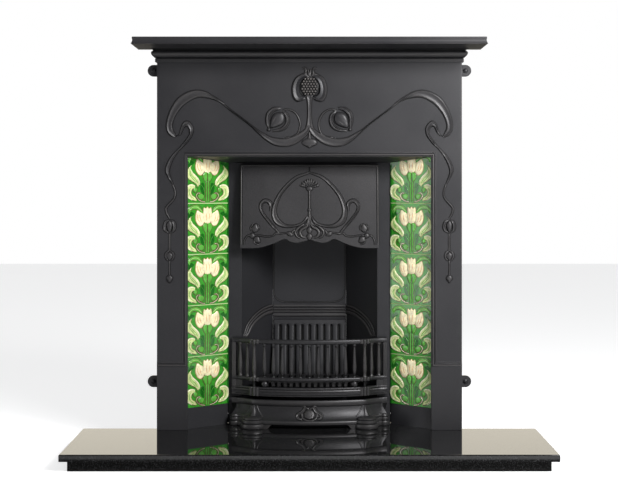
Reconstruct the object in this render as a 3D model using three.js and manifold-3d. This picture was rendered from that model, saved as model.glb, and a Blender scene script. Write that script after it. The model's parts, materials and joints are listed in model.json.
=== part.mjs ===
// A cast-iron combination fireplace with splayed tile cheeks, standing on a boxed granite hearth.
// Millimetres, +Z up. X runs along the wall and -Y faces the room. The origin is the middle of the
// underside. Inside the group everything is placed from the wall plane (y = 0) and the hearth top.

import * as THREE from 'three';
import { mergeVertices } from 'three/addons/utils/BufferGeometryUtils.js';
import Module from 'manifold-3d';

const wasm = await Module();
wasm.setup();

// ---------------------------------------------------------------- driving dimensions

const fitGap = 0.3;           // between pieces that seat on each other
const boltHoleGap = 0.4;      // round a bolt in its hole
const castWall = 8;           // every cast plate
const overrun = 1;            // joined solids run into each other, and cutting tools past a face, by this
const past = 10;              // the same for tools that only need to clear a piece

// hearth
const hearthWidth = 1366;
const hearthDepth = 380;
const slabThickness = 20;
const riserHeight = 30;
const riserThickness = 20;
const riserSetback = 20;      // the slab oversails the risers by this much
const slabChamfer = 2;
const backHearthMargin = 4;   // behind the fireback

// surround
const surroundWidth = 914;
const surroundHeight = 1155;  // hearth top to the underside of the shelf
const surroundDepth = 25;     // wall plane to the front face
const jambWidth = 92.4;
const beadWidth = 14;         // moulding round the opening
const beadRise = 4;
const beadSetback = 3;        // plain arris inside the bead
const footHeight = 191;
const footRise = 3;
const flangeWidth = 17;       // top flange that the shelf is bolted to
const lugReach = 30;          // wall fixing lugs
const lugHeight = 35;
const lugThickness = 8;
const lugHoleRadius = 4.5;
const cornice = [             // moulding under the shelf, as [out, up] from the front face and its foot
  [-castWall, 0], [5, 0], [5, 10], [2, 12], [6, 13], [13, 19], [16, 25], [14, 31], [10, 34],
  [10, 38], [16, 38], [16, 53], [-castWall, 53],
];
const lowLugCentre = 143;
const highLugDrop = 77;       // upper lugs' centres below the shelf

// shelf
const shelfOverhang = 59;     // past each side of the surround
const shelfDepth = 165;       // out from the wall
const shelfThickness = 8;
const apronDrop = 13;         // below the shelf plate
const apronWall = 8;
const shelfBoltInset = 60;    // outer bolts in from the sides of the surround

// tiled cheeks
const tileSize = 152;
const tileThickness = 9;
const tileJoint = 2.3;
const tilesPerSide = 5;
const splayAngle = THREE.MathUtils.degToRad(37.4);
const plinthHeight = 62.5;
const jambLap = 6.1;          // tile edge that the jamb hides
const tileSetback = 4;        // jamb's back face to the tile's front edge
const tileTuck = 12.7;        // top tile that the soffit hides
const cheekPlate = 6;
const cheekTab = 34;          // tabs that bolt the cheek to the inner plate
const cheekTabLap = 19;       // of the tab behind the plate
const cheekBoltInset = 9;     // from the plate's edge
const cheekTabFeet = [30, 700];
const stileWidth = 13;        // rib down the cheek's inner edge
const stileRise = 5;
const cheekLip = 10;          // backing plate past the tile's outer edge
const jambFlangeWidth = 28;   // bolted to the back of the jamb
const jambFlangeLap = 4;      // of the flange on the backing plate
const jambBoltOffset = 16;    // from the flange's inner edge
const jambBoltHeights = [110, 740];
const soffitDrop = 17;
const soffitThickness = 6;
const soffitFlange = 22;
const soffitClearance = 0.6;  // to the tiles

// inner plate and fire opening
const plateSetback = 3.7;     // inner tile edge to the plate's face
const plateEdgeGap = 1;
const plateRise = 15;         // above the surround's opening
const stripWidth = 40;
const fireOpeningHeight = 772;

// hood
const hoodTopGap = 6.5;
const hoodHeight = 254.5;
const hoodLap = 2;            // over each strip
const hoodTopReach = 20;
const hoodBottomReach = 48;
const hoodWall = 6;
const hoodFlange = 15;
const hoodBoltInset = 63;     // from the hood's sides
// The hood's lower edge from the middle to a side: a shallow wave between two lobes, then a long falling
// curve to plain square ends. Places are shares of the half width, and heights are above the ends.
const hoodEdge = [[0, 25.5], [0.1, 20], [0.19, 16], [0.28, 20], [0.36, 27.5], [0.52, 14], [0.73, 1.5], [1, 0]];

// fire chamber
const chamberDepth = 150;     // from the inner plate's face
const chamberBackWidth = 234;
const chamberHeight = 800;
const fireTabWidth = 18;
const fireBoltInset = 8;      // from the edge of the fire opening
const cheekElbow = [2, 6];    // outer corner where the fire cheek's tab meets its slope
const reedBandBottom = 309;
const reedBandTop = 354;
const reedBandRise = 4;
const reedBandInset = 2;
const backBrickTop = 306;
const backBrickSlope = 34;    // how far its foot stands forward of its head
const backBrickHead = 12;     // thickness at the top
const backBrickGap = 1;       // to the cheeks
const backBrickToe = 10;      // upright part of the face, up to this far below the grate
const backBrickSlots = 9;
const backBrickSlotPitch = 24;
const backBrickSlotWidth = 8;
const backBrickSlotTop = 291;
const backBrickSlotFoot = 20; // above the upright part
const backBrickSlotDepth = 7;

// smoke gather and damper
const gatherHeight = 90;
const throatWidth = 234;
const throatDepth = 74;
const damperFrameBar = 12;
const damperFrameThickness = 8;
const damperThickness = 6;
const damperLap = 7;          // flap over the frame's opening
const damperPinRadius = 3;
const damperBarrelRadius = 6;
const damperEarThickness = 6;
const damperEarGap = 1;       // flap to ear
const damperEarFront = 8;     // distances from the pin
const damperEarBack = 4;
const damperEarTop = 8;
const damperPinEnd = 3;       // past each ear
const damperHingeBack = 2;    // hinge line behind the lap
const pullRadius = 2.5;       // bent rod under the flap, that a poker lifts
const pullHalf = 12;
const pullDrop = 22;
const pullInset = 14;         // behind the front of the opening
const damperOpening = 62;     // clear depth through the frame

// bottom grate
const grateTop = 138;
const grateThickness = 12;
const grateSlotPitch = 18.4;
const grateSlotWidth = 8.4;
const grateSlots = 14;
const grateSideGap = 4;
const grateFrontGap = 6;      // behind the front bars
const grateFrontInset = 8;    // in from the corner posts
const grateShoulder = [12, 20]; // behind the inner plate, where the plan widens
const grateBar = 12;          // solid bars across the middle and the back
const grateSlotSide = 10;     // least iron beside a slot
const grateLedge = 12;        // on the fire cheeks
const ledgeReach = 14;
const ledgeFront = 30;        // behind the inner plate
const ledgeBackGap = 1.7;     // in front of the back brick

// front bars
const barsOverlap = 29;       // past each side of the fire opening
const barsCornerInset = 70;   // corner post in from the end
const barsEndReach = 18;      // plan distances out from the inner plate's face
const barsCornerReach = 55;
const barsCentreReach = 80;
const railDepth = 14;
const lowerRailBottom = 93;
const lowerRailTop = 120;
const midRailBottom = 138;
const midRailTop = 150;
const topRailBottom = 251;
const topRailTop = 265;
const balusterPitch = 27.3;
const balusterRadius = 5;
const cornerPostRadius = 8;
const cornerPostClear = 20;   // least distance from a corner post to a front baluster
const endPostWidth = 12;
const sideBalusters = 2;
const hookThickness = 5;
const hookRoot = 4;           // behind the end post's face
const hookNeckHeight = 14;
const hookTongue = 14;
const hookNeckBottom = 176;
const hookPlay = 1;           // round the hook in its slot
const barsLift = 25;          // room above the hook's neck to lift the bars off

// ash-pan cover
const coverHeight = 83;
const coverWall = 6;
const coverSkirtBottom = 13;
const coverBead = 12;         // lower bead's height
const coverFlare = 28;        // lower bead's reach past the top
const coverHollow = [[0.5, 24], [0.15, 38]]; // shares of the flare, and heights above the skirt's bottom
const coverTopBead = 17;
const coverTopBeadRise = 5;
const coverBeadRound = 6;
const coverLip = 1;
const coverEndFlare = 0.3;    // share of the flare that is left at the ends
const coverFootRadius = 28;
const coverFootReach = 80;
const coverFootHeight = 26;
const coverFootOffset = 7;    // outside the corner posts
const coverRearFootRadius = 17;
const coverRearFootReach = 24;
const coverRearFootInset = 10;

// ash pan
const panWidth = 224;
const panHeight = 48;
const panWall = 2;
const panFrontGap = 3;        // behind the cover
const panBackGap = 7.5;       // in front of the back brick
const panHandleWidth = 90;
const panHandleReach = 14;
const panHandleThickness = 4;
const panHandleHeight = 12;
const panHandleBottom = 28.8;

// fasteners
const boltRadius = 4;
const boltHeadRadius = 7.5;
const boltHeadHeight = 5.5;
const boltBite = 5;           // depth of a blind tapped hole

// ---------------------------------------------------------------- sizes that follow

const hearthHeight = slabThickness + riserHeight;
const openingHalf = surroundWidth / 2 - jambWidth;
const frontFace = -surroundDepth;
const frontBack = frontFace + castWall;
const tilePitch = tileSize + tileJoint;
const tilesTop = plinthHeight + tilesPerSide * tilePitch - tileJoint;
const openingHeight = tilesTop - tileTuck;
const tileOuterX = openingHalf + jambLap;
const tileOuterY = frontBack + tileSetback;
const tileInnerX = tileOuterX - tileSize * Math.cos(splayAngle);
const tileInnerY = tileOuterY + tileSize * Math.sin(splayAngle);
const plateFace = tileInnerY + plateSetback;
const plateBack = plateFace + castWall;
const plateHalf = tileInnerX - plateEdgeGap;
const plateHeight = openingHeight + plateRise;
const fireHalf = plateHalf - stripWidth;
const hoodHalf = fireHalf + hoodLap;
const hoodTop = openingHeight - soffitDrop - hoodTopGap;
const hoodBottom = hoodTop - hoodHeight;
const chamberBack = plateFace + chamberDepth;
const chamberBackHalf = chamberBackWidth / 2;
const backHearthDepth = chamberBack + castWall + backHearthMargin;
const gatherBottom = chamberHeight + fitGap;
const gatherTop = gatherBottom + gatherHeight;
const backBrickFoot = chamberBack - fitGap - backBrickHead - backBrickSlope;
const boltHoleRadius = boltRadius + boltHoleGap;
const barsEndHalf = fireHalf + barsOverlap;
const barsCornerHalf = barsEndHalf - barsCornerInset;
const corniceHeight = Math.max(...cornice.map(([, up]) => up));

// ---------------------------------------------------------------- solids

function solidOf(geometry) {
  const bare = geometry.clone();
  bare.deleteAttribute('normal');
  bare.deleteAttribute('uv');
  const merged = mergeVertices(bare, 1e-4);
  return new wasm.Manifold(new wasm.Mesh({
    numProp: 3,
    vertProperties: new Float32Array(merged.attributes.position.array),
    triVerts: new Uint32Array(merged.index.array),
  }));
}

function geometryOf(solid) {
  const mesh = solid.getMesh();
  const geometry = new THREE.BufferGeometry();
  geometry.setAttribute('position', new THREE.BufferAttribute(mesh.vertProperties, 3));
  geometry.setIndex(new THREE.BufferAttribute(mesh.triVerts, 1));
  geometry.computeVertexNormals();
  return geometry;
}

function join(first, ...others) {
  return geometryOf(others.reduce((solid, next) => solid.add(solidOf(next)), solidOf(first)));
}

function cut(first, ...others) {
  return geometryOf(others.reduce((solid, next) => solid.subtract(solidOf(next)), solidOf(first)));
}

function box(x0, x1, y0, y1, z0, z1) {
  const geometry = new THREE.BoxGeometry(x1 - x0, y1 - y0, z1 - z0);
  return geometry.translate((x0 + x1) / 2, (y0 + y1) / 2, (z0 + z1) / 2);
}

function shapeOf(points) {
  return new THREE.Shape(points.map(([u, v]) => new THREE.Vector2(u, v)));
}

// A plan outline standing up from z0.
function standing(shape, z0, height) {
  const geometry = new THREE.ExtrudeGeometry(shape, { depth: height, bevelEnabled: false, curveSegments: 10 });
  return geometry.translate(0, 0, z0);
}

// An outline in X and Z, running back from y0.
function facing(shape, y0, depth) {
  const geometry = new THREE.ExtrudeGeometry(shape, { depth, bevelEnabled: false, curveSegments: 10 });
  return geometry.rotateX(Math.PI / 2).translate(0, y0 + depth, 0);
}

// An outline in Y and Z, running along X from x0 to x1.
function sideways(shape, x0, x1) {
  const geometry = new THREE.ExtrudeGeometry(shape, { depth: x1 - x0, bevelEnabled: false, curveSegments: 10 });
  const turn = new THREE.Matrix4().makeBasis(
    new THREE.Vector3(0, 1, 0), new THREE.Vector3(0, 0, 1), new THREE.Vector3(1, 0, 0));
  return geometry.applyMatrix4(turn).translate(x0, 0, 0);
}

// Reverses the faces of a geometry that has been turned inside out.
function turnedOut(geometry) {
  const index = geometry.index.array;
  for (let i = 0; i < index.length; i += 3) {
    [index[i], index[i + 2]] = [index[i + 2], index[i]];
  }
  geometry.computeVertexNormals();
  return geometry;
}

function mirrored(geometry) {
  const copy = geometry.index ? geometry.clone() : mergeVertices(geometry.clone());
  return turnedOut(copy.scale(-1, 1, 1));
}

// Rows of points, each a closed loop, skinned into one solid with flat ends.
function skinned(rows, capShape) {
  const count = rows[0].length;
  const positions = rows.flat(2);
  const index = [];
  for (let i = 0; i + 1 < rows.length; i += 1) {
    for (let j = 0; j < count; j += 1) {
      const a = i * count + j;
      const b = i * count + (j + 1) % count;
      index.push(a, b, b + count, a, b + count, a + count);
    }
  }
  const last = (rows.length - 1) * count;
  for (const [a, b, c] of THREE.ShapeUtils.triangulateShape(capShape, [])) {
    index.push(a, c, b, last + a, last + b, last + c);
  }
  const geometry = new THREE.BufferGeometry();
  geometry.setAttribute('position', new THREE.Float32BufferAttribute(positions, 3));
  geometry.setIndex(index);
  return signedVolume(geometry) < 0 ? turnedOut(geometry) : geometry;
}

function signedVolume(geometry) {
  const [a, b, c] = [new THREE.Vector3(), new THREE.Vector3(), new THREE.Vector3()];
  const { position } = geometry.attributes;
  const { array } = geometry.index;
  let volume = 0;
  for (let i = 0; i < array.length; i += 3) {
    a.fromBufferAttribute(position, array[i]);
    b.fromBufferAttribute(position, array[i + 1]);
    c.fromBufferAttribute(position, array[i + 2]);
    volume += a.dot(b.cross(c)) / 6;
  }
  return volume;
}

// Sweeps a profile of [out, z] points along a plan path, mitred at its corners. Out is to the right of
// the path's direction, and flare says what share of an outward step is kept at each point.
function swept(path, profile, flare = () => 1) {
  const rows = path.map(([x, y], i) => {
    const before = path[Math.max(i - 1, 0)];
    const after = path[Math.min(i + 1, path.length - 1)];
    const n1 = new THREE.Vector2(y - before[1], before[0] - x);
    const n2 = new THREE.Vector2(after[1] - y, x - after[0]);
    if (n1.lengthSq() === 0) n1.copy(n2);
    if (n2.lengthSq() === 0) n2.copy(n1);
    n1.normalize();
    n2.normalize();
    const mitre = n1.clone().add(n2).divideScalar(1 + n1.dot(n2));
    return profile.map(([out, z]) => {
      const step = out > 0 ? out * flare(x) : out;
      return [x + mitre.x * step, y + mitre.y * step, z];
    });
  });
  return skinned(rows, profile.map(([out, z]) => new THREE.Vector2(out, z)));
}

// A round bar between two heights.
function post(x, y, z0, z1, radius, sides = 8) {
  const geometry = new THREE.CylinderGeometry(radius, radius, z1 - z0, sides);
  return geometry.rotateX(Math.PI / 2).translate(x, y, (z0 + z1) / 2);
}

// A round bar along X.
function rod(x0, x1, y, z, radius, sides = 12) {
  const geometry = new THREE.CylinderGeometry(radius, radius, x1 - x0, sides);
  return geometry.rotateZ(Math.PI / 2).translate((x0 + x1) / 2, y, z);
}

// A round bar along Y.
function barY(x, y0, y1, z, radius, sides = 8) {
  const geometry = new THREE.CylinderGeometry(radius, radius, y1 - y0, sides);
  return geometry.translate(x, (y0 + y1) / 2, z);
}

// A hexagon-headed screw along +Z: its head lies below z = 0 and its shank runs up from there.
function hexScrew(shankLength) {
  const head = new THREE.CylinderGeometry(boltHeadRadius, boltHeadRadius, boltHeadHeight, 6);
  const shank = new THREE.CylinderGeometry(boltRadius, boltRadius, shankLength + overrun, 10);
  return join(
    head.rotateX(Math.PI / 2).translate(0, 0, -boltHeadHeight / 2),
    shank.rotateX(Math.PI / 2).translate(0, 0, (shankLength - overrun) / 2),
  );
}

// ---------------------------------------------------------------- materials

function finish(color, roughness, metalness) {
  return new THREE.MeshStandardMaterial({ color, roughness, metalness });
}

const blackedIron = finish(0x2a2b2e, 0.55, 0.6);
const polishedIron = finish(0x37383c, 0.35, 0.8);
const granite = finish(0x121314, 0.08, 0.0);
const bedding = finish(0x8b8880, 0.9, 0.0);
const greenGlaze = finish(0x3f8f3a, 0.15, 0.0);
const sheetSteel = finish(0x4b4c4f, 0.45, 0.8);
const boltSteel = finish(0x3c3c3e, 0.5, 0.8);

const fireplace = new THREE.Group();
fireplace.position.y = (hearthDepth - backHearthDepth) / 2;
const aboveHearth = new THREE.Group();
aboveHearth.position.z = hearthHeight;
fireplace.add(aboveHearth);

function piece(name, geometry, material, parent = aboveHearth) {
  const mesh = new THREE.Mesh(geometry, material);
  mesh.name = name;
  parent.add(mesh);
  return mesh;
}

const sides = [['left', -1], ['right', 1]];

// ---------------------------------------------------------------- hearth

function chamferedSlab(width, depth, thickness) {
  const rise = thickness - slabChamfer;
  const rows = [[0, 0], [0, rise], [slabChamfer, thickness]].map(([inset, z]) => {
    const x = width / 2 - inset;
    const front = -depth + inset;
    return [[-x, front, z], [x, front, z], [x, 0, z], [-x, 0, z]];
  });
  return skinned(rows, rows[0].map(([x, y]) => new THREE.Vector2(x, y)));
}

function buildHearth() {
  const slab = chamferedSlab(hearthWidth, hearthDepth, slabThickness);
  piece('hearth_slab', slab, granite, fireplace).position.z = riserHeight;
  const plinthHalf = hearthWidth / 2 - riserSetback;
  const plinthFront = -hearthDepth + riserSetback;
  const riserBack = plinthFront + riserThickness;
  const inside = plinthHalf - riserThickness;
  piece('hearth_riser_front',
    box(-plinthHalf, plinthHalf, plinthFront, riserBack, 0, riserHeight), granite, fireplace);
  for (const [side, sign] of sides) {
    const riser = box(-riserThickness / 2, riserThickness / 2, riserBack + fitGap, 0, 0, riserHeight);
    const mesh = piece(`hearth_riser_${side}`, riser, granite, fireplace);
    mesh.position.x = sign * (inside + riserThickness / 2);
  }
  piece('hearth_core', box(-inside + fitGap, inside - fitGap, riserBack + fitGap, 0, 0, riserHeight),
    bedding, fireplace);
  const backHalf = surroundWidth / 2;
  piece('back_hearth', box(-backHalf, backHalf, fitGap, backHearthDepth, riserHeight, hearthHeight),
    granite, fireplace);
  piece('back_hearth_bed', box(-backHalf, backHalf, fitGap, backHearthDepth, 0, riserHeight),
    bedding, fireplace);
}

// ---------------------------------------------------------------- surround

function lug(sign, centre) {
  const root = surroundWidth / 2 - castWall;
  const tip = surroundWidth / 2 + lugReach;
  const radius = lugHeight / 2;
  const shape = new THREE.Shape();
  shape.moveTo(root, centre - radius);
  shape.lineTo(tip - radius, centre - radius);
  shape.absarc(tip - radius, centre, radius, -Math.PI / 2, Math.PI / 2, false);
  shape.lineTo(root, centre + radius);
  shape.closePath();
  const hole = new THREE.Path();
  hole.absarc(tip - radius, centre, lugHoleRadius, 0, 2 * Math.PI, true);
  shape.holes.push(hole);
  const right = facing(shape, -lugThickness, lugThickness);
  return sign > 0 ? right : mirrored(right);
}

function buildSurround() {
  const half = surroundWidth / 2;
  const inner = openingHalf;
  const corniceFoot = surroundHeight - corniceHeight;
  const face = facing(shapeOf([
    [-half, 0], [-inner, 0], [-inner, openingHeight], [inner, openingHeight], [inner, 0],
    [half, 0], [half, surroundHeight], [-half, surroundHeight],
  ]), frontFace, castWall);
  const returns = sides.map(([, sign]) => {
    const outer = sign * half;
    const inside = sign * (half - castWall);
    return box(Math.min(outer, inside), Math.max(outer, inside), frontFace, 0, 0, surroundHeight);
  });
  const topFlange = box(-half, half, frontFace, frontBack + flangeWidth, surroundHeight - castWall,
    surroundHeight);
  const moulding = swept(
    [[-half, 0], [-half, frontFace], [half, frontFace], [half, 0]],
    cornice.map(([out, up]) => [out, corniceFoot + up]));
  const beadIn = inner + beadSetback;
  const beadOut = beadIn + beadWidth;
  const bead = facing(shapeOf([
    [-beadOut, footHeight], [-beadIn, footHeight], [-beadIn, openingHeight + beadSetback],
    [beadIn, openingHeight + beadSetback], [beadIn, footHeight], [beadOut, footHeight],
    [beadOut, openingHeight + beadSetback + beadWidth], [-beadOut, openingHeight + beadSetback + beadWidth],
  ]), frontFace - beadRise, beadRise + overrun);
  const feet = sides.map(([, sign]) => {
    const a = sign * inner;
    const b = sign * half;
    return box(Math.min(a, b), Math.max(a, b), frontFace - footRise, frontFace + overrun, 0, footHeight);
  });
  const lugHeights = [lowLugCentre, surroundHeight - highLugDrop];
  const lugs = sides.flatMap(([, sign]) => lugHeights.map((z) => lug(sign, z)));
  const body = join(face, ...returns, topFlange, moulding, bead, ...feet, ...lugs);
  const shelfHoles = shelfBoltPlaces().map(([x, y]) => post(x, y, surroundHeight - 2 * castWall,
    surroundHeight + overrun, boltHoleRadius, 10));
  const jambHoles = sides.flatMap(([, sign]) => jambBoltHeights.map((z) => barY(sign * jambBoltX(),
    frontBack - boltBite - fitGap, frontBack + overrun, z, boltHoleRadius)));
  piece('surround_front', cut(body, ...shelfHoles, ...jambHoles), blackedIron);
}

function shelfBoltPlaces() {
  const y = frontBack + flangeWidth / 2;
  const x = surroundWidth / 2 - shelfBoltInset;
  return [[-x, y], [0, y], [x, y]];
}

function buildShelf() {
  const half = surroundWidth / 2 + shelfOverhang;
  const plate = box(-half, half, -shelfDepth, 0, surroundHeight, surroundHeight + shelfThickness);
  const apron = swept([[-half, 0], [-half, -shelfDepth], [half, -shelfDepth], [half, 0]], [
    [-apronWall, surroundHeight - apronDrop], [0, surroundHeight - apronDrop],
    [0, surroundHeight + overrun], [-apronWall, surroundHeight + overrun],
  ]);
  const holes = shelfBoltPlaces().map(([x, y]) => post(x, y, surroundHeight - overrun,
    surroundHeight + boltBite + fitGap, boltHoleRadius, 10));
  piece('mantel_shelf', cut(join(plate, apron), ...holes), blackedIron);
  for (const [i, [x, y]] of shelfBoltPlaces().entries()) {
    const bolt = piece(`shelf_bolt_${i + 1}`, hexScrew(castWall + fitGap + boltBite), boltSteel);
    bolt.position.set(x, y, surroundHeight - castWall - fitGap);
  }
}

// ---------------------------------------------------------------- tiled cheeks

// The right-hand tile plane: u runs in from the tile's outer edge, depth runs back from its face.
function onCheek(u, depth) {
  return [
    tileOuterX - u * Math.cos(splayAngle) + depth * Math.sin(splayAngle),
    tileOuterY + u * Math.sin(splayAngle) + depth * Math.cos(splayAngle),
  ];
}

function cheekSlab(u0, u1, d0, d1, z0, z1) {
  return standing(shapeOf([onCheek(u1, d0), onCheek(u0, d0), onCheek(u0, d1), onCheek(u1, d1)]), z0, z1 - z0);
}

// Where the cheek's backing plate ends behind the jamb.
function jambFlangeX() {
  return onCheek(-cheekLip, tileThickness + fitGap)[0] - jambFlangeLap;
}

function jambBoltX() {
  return jambFlangeX() + jambBoltOffset;
}

function cheekGeometry() {
  const backing = tileThickness + fitGap;
  const inner = tileSize - plateEdgeGap;
  const back = backing + cheekPlate;
  const plate = cheekSlab(-cheekLip, inner, backing, back, 0, tilesTop);
  const plinth = cheekSlab(plateEdgeGap, inner, 0, backing + overrun, 0, plinthHeight - fitGap);
  const stile = cheekSlab(inner - stileWidth, inner, back - overrun, back + stileRise + overrun, 0, tilesTop);
  const flangeFace = frontBack + fitGap;
  const jambFlange = box(jambFlangeX(), jambFlangeX() + jambFlangeWidth, flangeFace, flangeFace + cheekPlate,
    0, tilesTop);
  const tabX = plateHalf - cheekTabLap;
  const tabFace = plateBack + fitGap;
  const tabs = cheekTabFeet.map((z) => box(tabX, tabX + cheekTab, tabFace, tabFace + cheekPlate,
    z, z + cheekTab));
  const tabHoles = cheekTabFeet.map((z) => barY(plateHalf - cheekBoltInset, plateBack - overrun,
    tabFace + cheekPlate + past, z + cheekTab / 2, boltHoleRadius));
  const jambHoles = jambBoltHeights.map((z) => barY(jambBoltX(), frontBack - overrun,
    flangeFace + cheekPlate + overrun, z, boltHoleRadius));
  return cut(join(plate, plinth, stile, jambFlange, ...tabs), ...tabHoles, ...jambHoles);
}

function buildCheeks() {
  const right = cheekGeometry();
  piece('tile_cheek_left', mirrored(right), blackedIron);
  piece('tile_cheek_right', right, blackedIron);
  for (const [side, sign] of sides) {
    const column = new THREE.Group();
    column.position.set(sign * tileOuterX, tileOuterY, plinthHeight);
    column.rotation.z = -sign * splayAngle;
    aboveHearth.add(column);
    for (let i = 0; i < tilesPerSide; i += 1) {
      const tile = new THREE.BoxGeometry(tileSize, tileThickness, tileSize);
      const mesh = piece(`tile_${side}_${i + 1}`, tile, greenGlaze, column);
      mesh.position.set(-sign * tileSize / 2, tileThickness / 2, i * tilePitch + tileSize / 2);
    }
    for (const [i, z] of cheekTabFeet.entries()) {
      const bolt = piece(`cheek_bolt_${side}_${i + 1}`, hexScrew(cheekPlate + fitGap + boltBite), boltSteel);
      bolt.rotation.x = Math.PI / 2;
      bolt.position.set(sign * (plateHalf - cheekBoltInset), plateBack + 2 * fitGap + cheekPlate,
        z + cheekTab / 2);
    }
    for (const [i, z] of jambBoltHeights.entries()) {
      const bolt = piece(`jamb_bolt_${side}_${i + 1}`, hexScrew(cheekPlate + fitGap + boltBite), boltSteel);
      bolt.rotation.x = Math.PI / 2;
      bolt.position.set(sign * jambBoltX(), frontBack + 2 * fitGap + cheekPlate, z);
    }
  }
}

// The panel that closes the top of the recess, falling from the surround to the inner plate.
function buildSoffit() {
  const front = frontBack + fitGap;
  const back = plateFace - fitGap;
  const fall = (y) => openingHeight - soffitDrop * (y - front) / (back - front);
  const section = shapeOf([
    [front, fall(front)], [back, fall(back)], [back, fall(back) + soffitFlange],
    [back - soffitThickness, fall(back) + soffitFlange],
    [back - soffitThickness, fall(back) + soffitThickness + 1],
    [front + soffitThickness, fall(front) + soffitThickness],
    [front + soffitThickness, fall(front) + soffitFlange], [front, fall(front) + soffitFlange],
  ]);
  const edge = (y) => tileOuterX - (y - tileOuterY) / Math.tan(splayAngle)
    - soffitClearance / Math.sin(splayAngle);
  const reach = Math.min(edge(front), openingHalf);
  const bend = tileOuterY + (tileOuterX - reach) * Math.tan(splayAngle)
    - soffitClearance / Math.cos(splayAngle);
  const rear = back + overrun;
  const plan = shapeOf([
    [-edge(rear), rear], [-reach, bend], [-reach, front - overrun],
    [reach, front - overrun], [reach, bend], [edge(rear), rear],
  ]);
  const panel = sideways(section, -openingHalf, openingHalf);
  const trim = standing(plan, openingHeight - soffitDrop - past, soffitDrop + soffitFlange + 2 * past);
  piece('soffit_panel', geometryOf(solidOf(panel).intersect(solidOf(trim))), blackedIron);
}

// ---------------------------------------------------------------- inner plate and hood

function blindHoles(places) {
  return places.map(([x, z]) => barY(x, plateBack - boltBite - fitGap, plateBack + overrun, z,
    boltHoleRadius));
}

function fireTabPlaces() {
  return cheekTabFeet.map((z) => [fireHalf + fireBoltInset, z + cheekTab / 2]);
}

function hookSlotTop() {
  return hookNeckBottom + hookNeckHeight + barsLift + 2 * hookPlay;
}

function buildInnerPlate() {
  const frame = facing(shapeOf([
    [-plateHalf, 0], [-fireHalf, 0], [-fireHalf, fireOpeningHeight], [fireHalf, fireOpeningHeight],
    [fireHalf, 0], [plateHalf, 0], [plateHalf, plateHeight], [-plateHalf, plateHeight],
  ]), plateFace, castWall);
  const cheekPlaces = cheekTabFeet.map((z) => [plateHalf - cheekBoltInset, z + cheekTab / 2]);
  const slotHalf = hookThickness / 2 + hookPlay;
  const tools = sides.flatMap(([, sign]) => [
    ...blindHoles([...cheekPlaces, ...fireTabPlaces()].map(([x, z]) => [sign * x, z])),
    box(sign * hookCentre() - slotHalf, sign * hookCentre() + slotHalf,
      plateFace - overrun, plateBack + overrun, hookNeckBottom - fitGap, hookSlotTop()),
    barY(sign * hoodBoltX(), plateFace - overrun, plateBack + overrun, hoodBoltZ(), boltHoleRadius),
  ]);
  piece('inner_plate', cut(frame, ...tools), blackedIron);
}

function hookCentre() {
  return fireHalf + stripWidth / 2;
}

function hoodBoltX() {
  return hoodHalf - hoodBoltInset;
}

function hoodBoltZ() {
  return hoodTop - hoodWall - hoodFlange / 2;
}

function hoodEdgeShape() {
  const right = hoodEdge.map(([share, up]) => new THREE.Vector2(share * hoodHalf, hoodBottom + up));
  const left = right.slice(1).reverse().map((p) => new THREE.Vector2(-p.x, p.y));
  const wave = new THREE.SplineCurve([...left, ...right]).getPoints(44);
  const low = hoodBottom - 2 * past;
  const side = hoodHalf + past;
  return new THREE.Shape([
    new THREE.Vector2(-side, low), new THREE.Vector2(-side, hoodBottom), ...wave,
    new THREE.Vector2(side, hoodBottom), new THREE.Vector2(side, low),
  ].reverse());
}

function buildHood() {
  const back = plateFace - fitGap;
  const low = hoodBottom - past;
  const lean = (hoodBottomReach - hoodTopReach) / hoodHeight;
  const frontAt = (z) => plateFace - hoodTopReach - lean * (hoodTop - z);
  const shell = sideways(shapeOf([
    [frontAt(low), low], [back, low], [back, hoodTop], [frontAt(hoodTop), hoodTop],
  ]), -hoodHalf, hoodHalf);
  const hollowTop = hoodTop - hoodWall;
  const hollow = sideways(shapeOf([
    [frontAt(low - overrun) + hoodWall, low - overrun], [back + overrun, low - overrun],
    [back + overrun, hollowTop - hoodFlange], [back - hoodWall, hollowTop - hoodFlange],
    [back - hoodWall, hollowTop], [frontAt(hollowTop) + hoodWall, hollowTop],
  ]), -hoodHalf + hoodWall, hoodHalf - hoodWall);
  const edge = facing(hoodEdgeShape(), frontAt(low) - past, back - frontAt(low) + 2 * past);
  const holes = sides.map(([, sign]) => barY(sign * hoodBoltX(), back - hoodWall - overrun, back + overrun,
    hoodBoltZ(), boltHoleRadius));
  piece('hood', cut(shell, hollow, edge, ...holes), polishedIron);
  for (const [side, sign] of sides) {
    const length = castWall + 2 * fitGap + boltHeadHeight;
    const bolt = piece(`hood_bolt_${side}`, hexScrew(length), boltSteel);
    bolt.rotation.x = Math.PI / 2;
    bolt.position.set(sign * hoodBoltX(), plateBack + fitGap, hoodBoltZ());
  }
}

// ---------------------------------------------------------------- fire chamber

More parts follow.
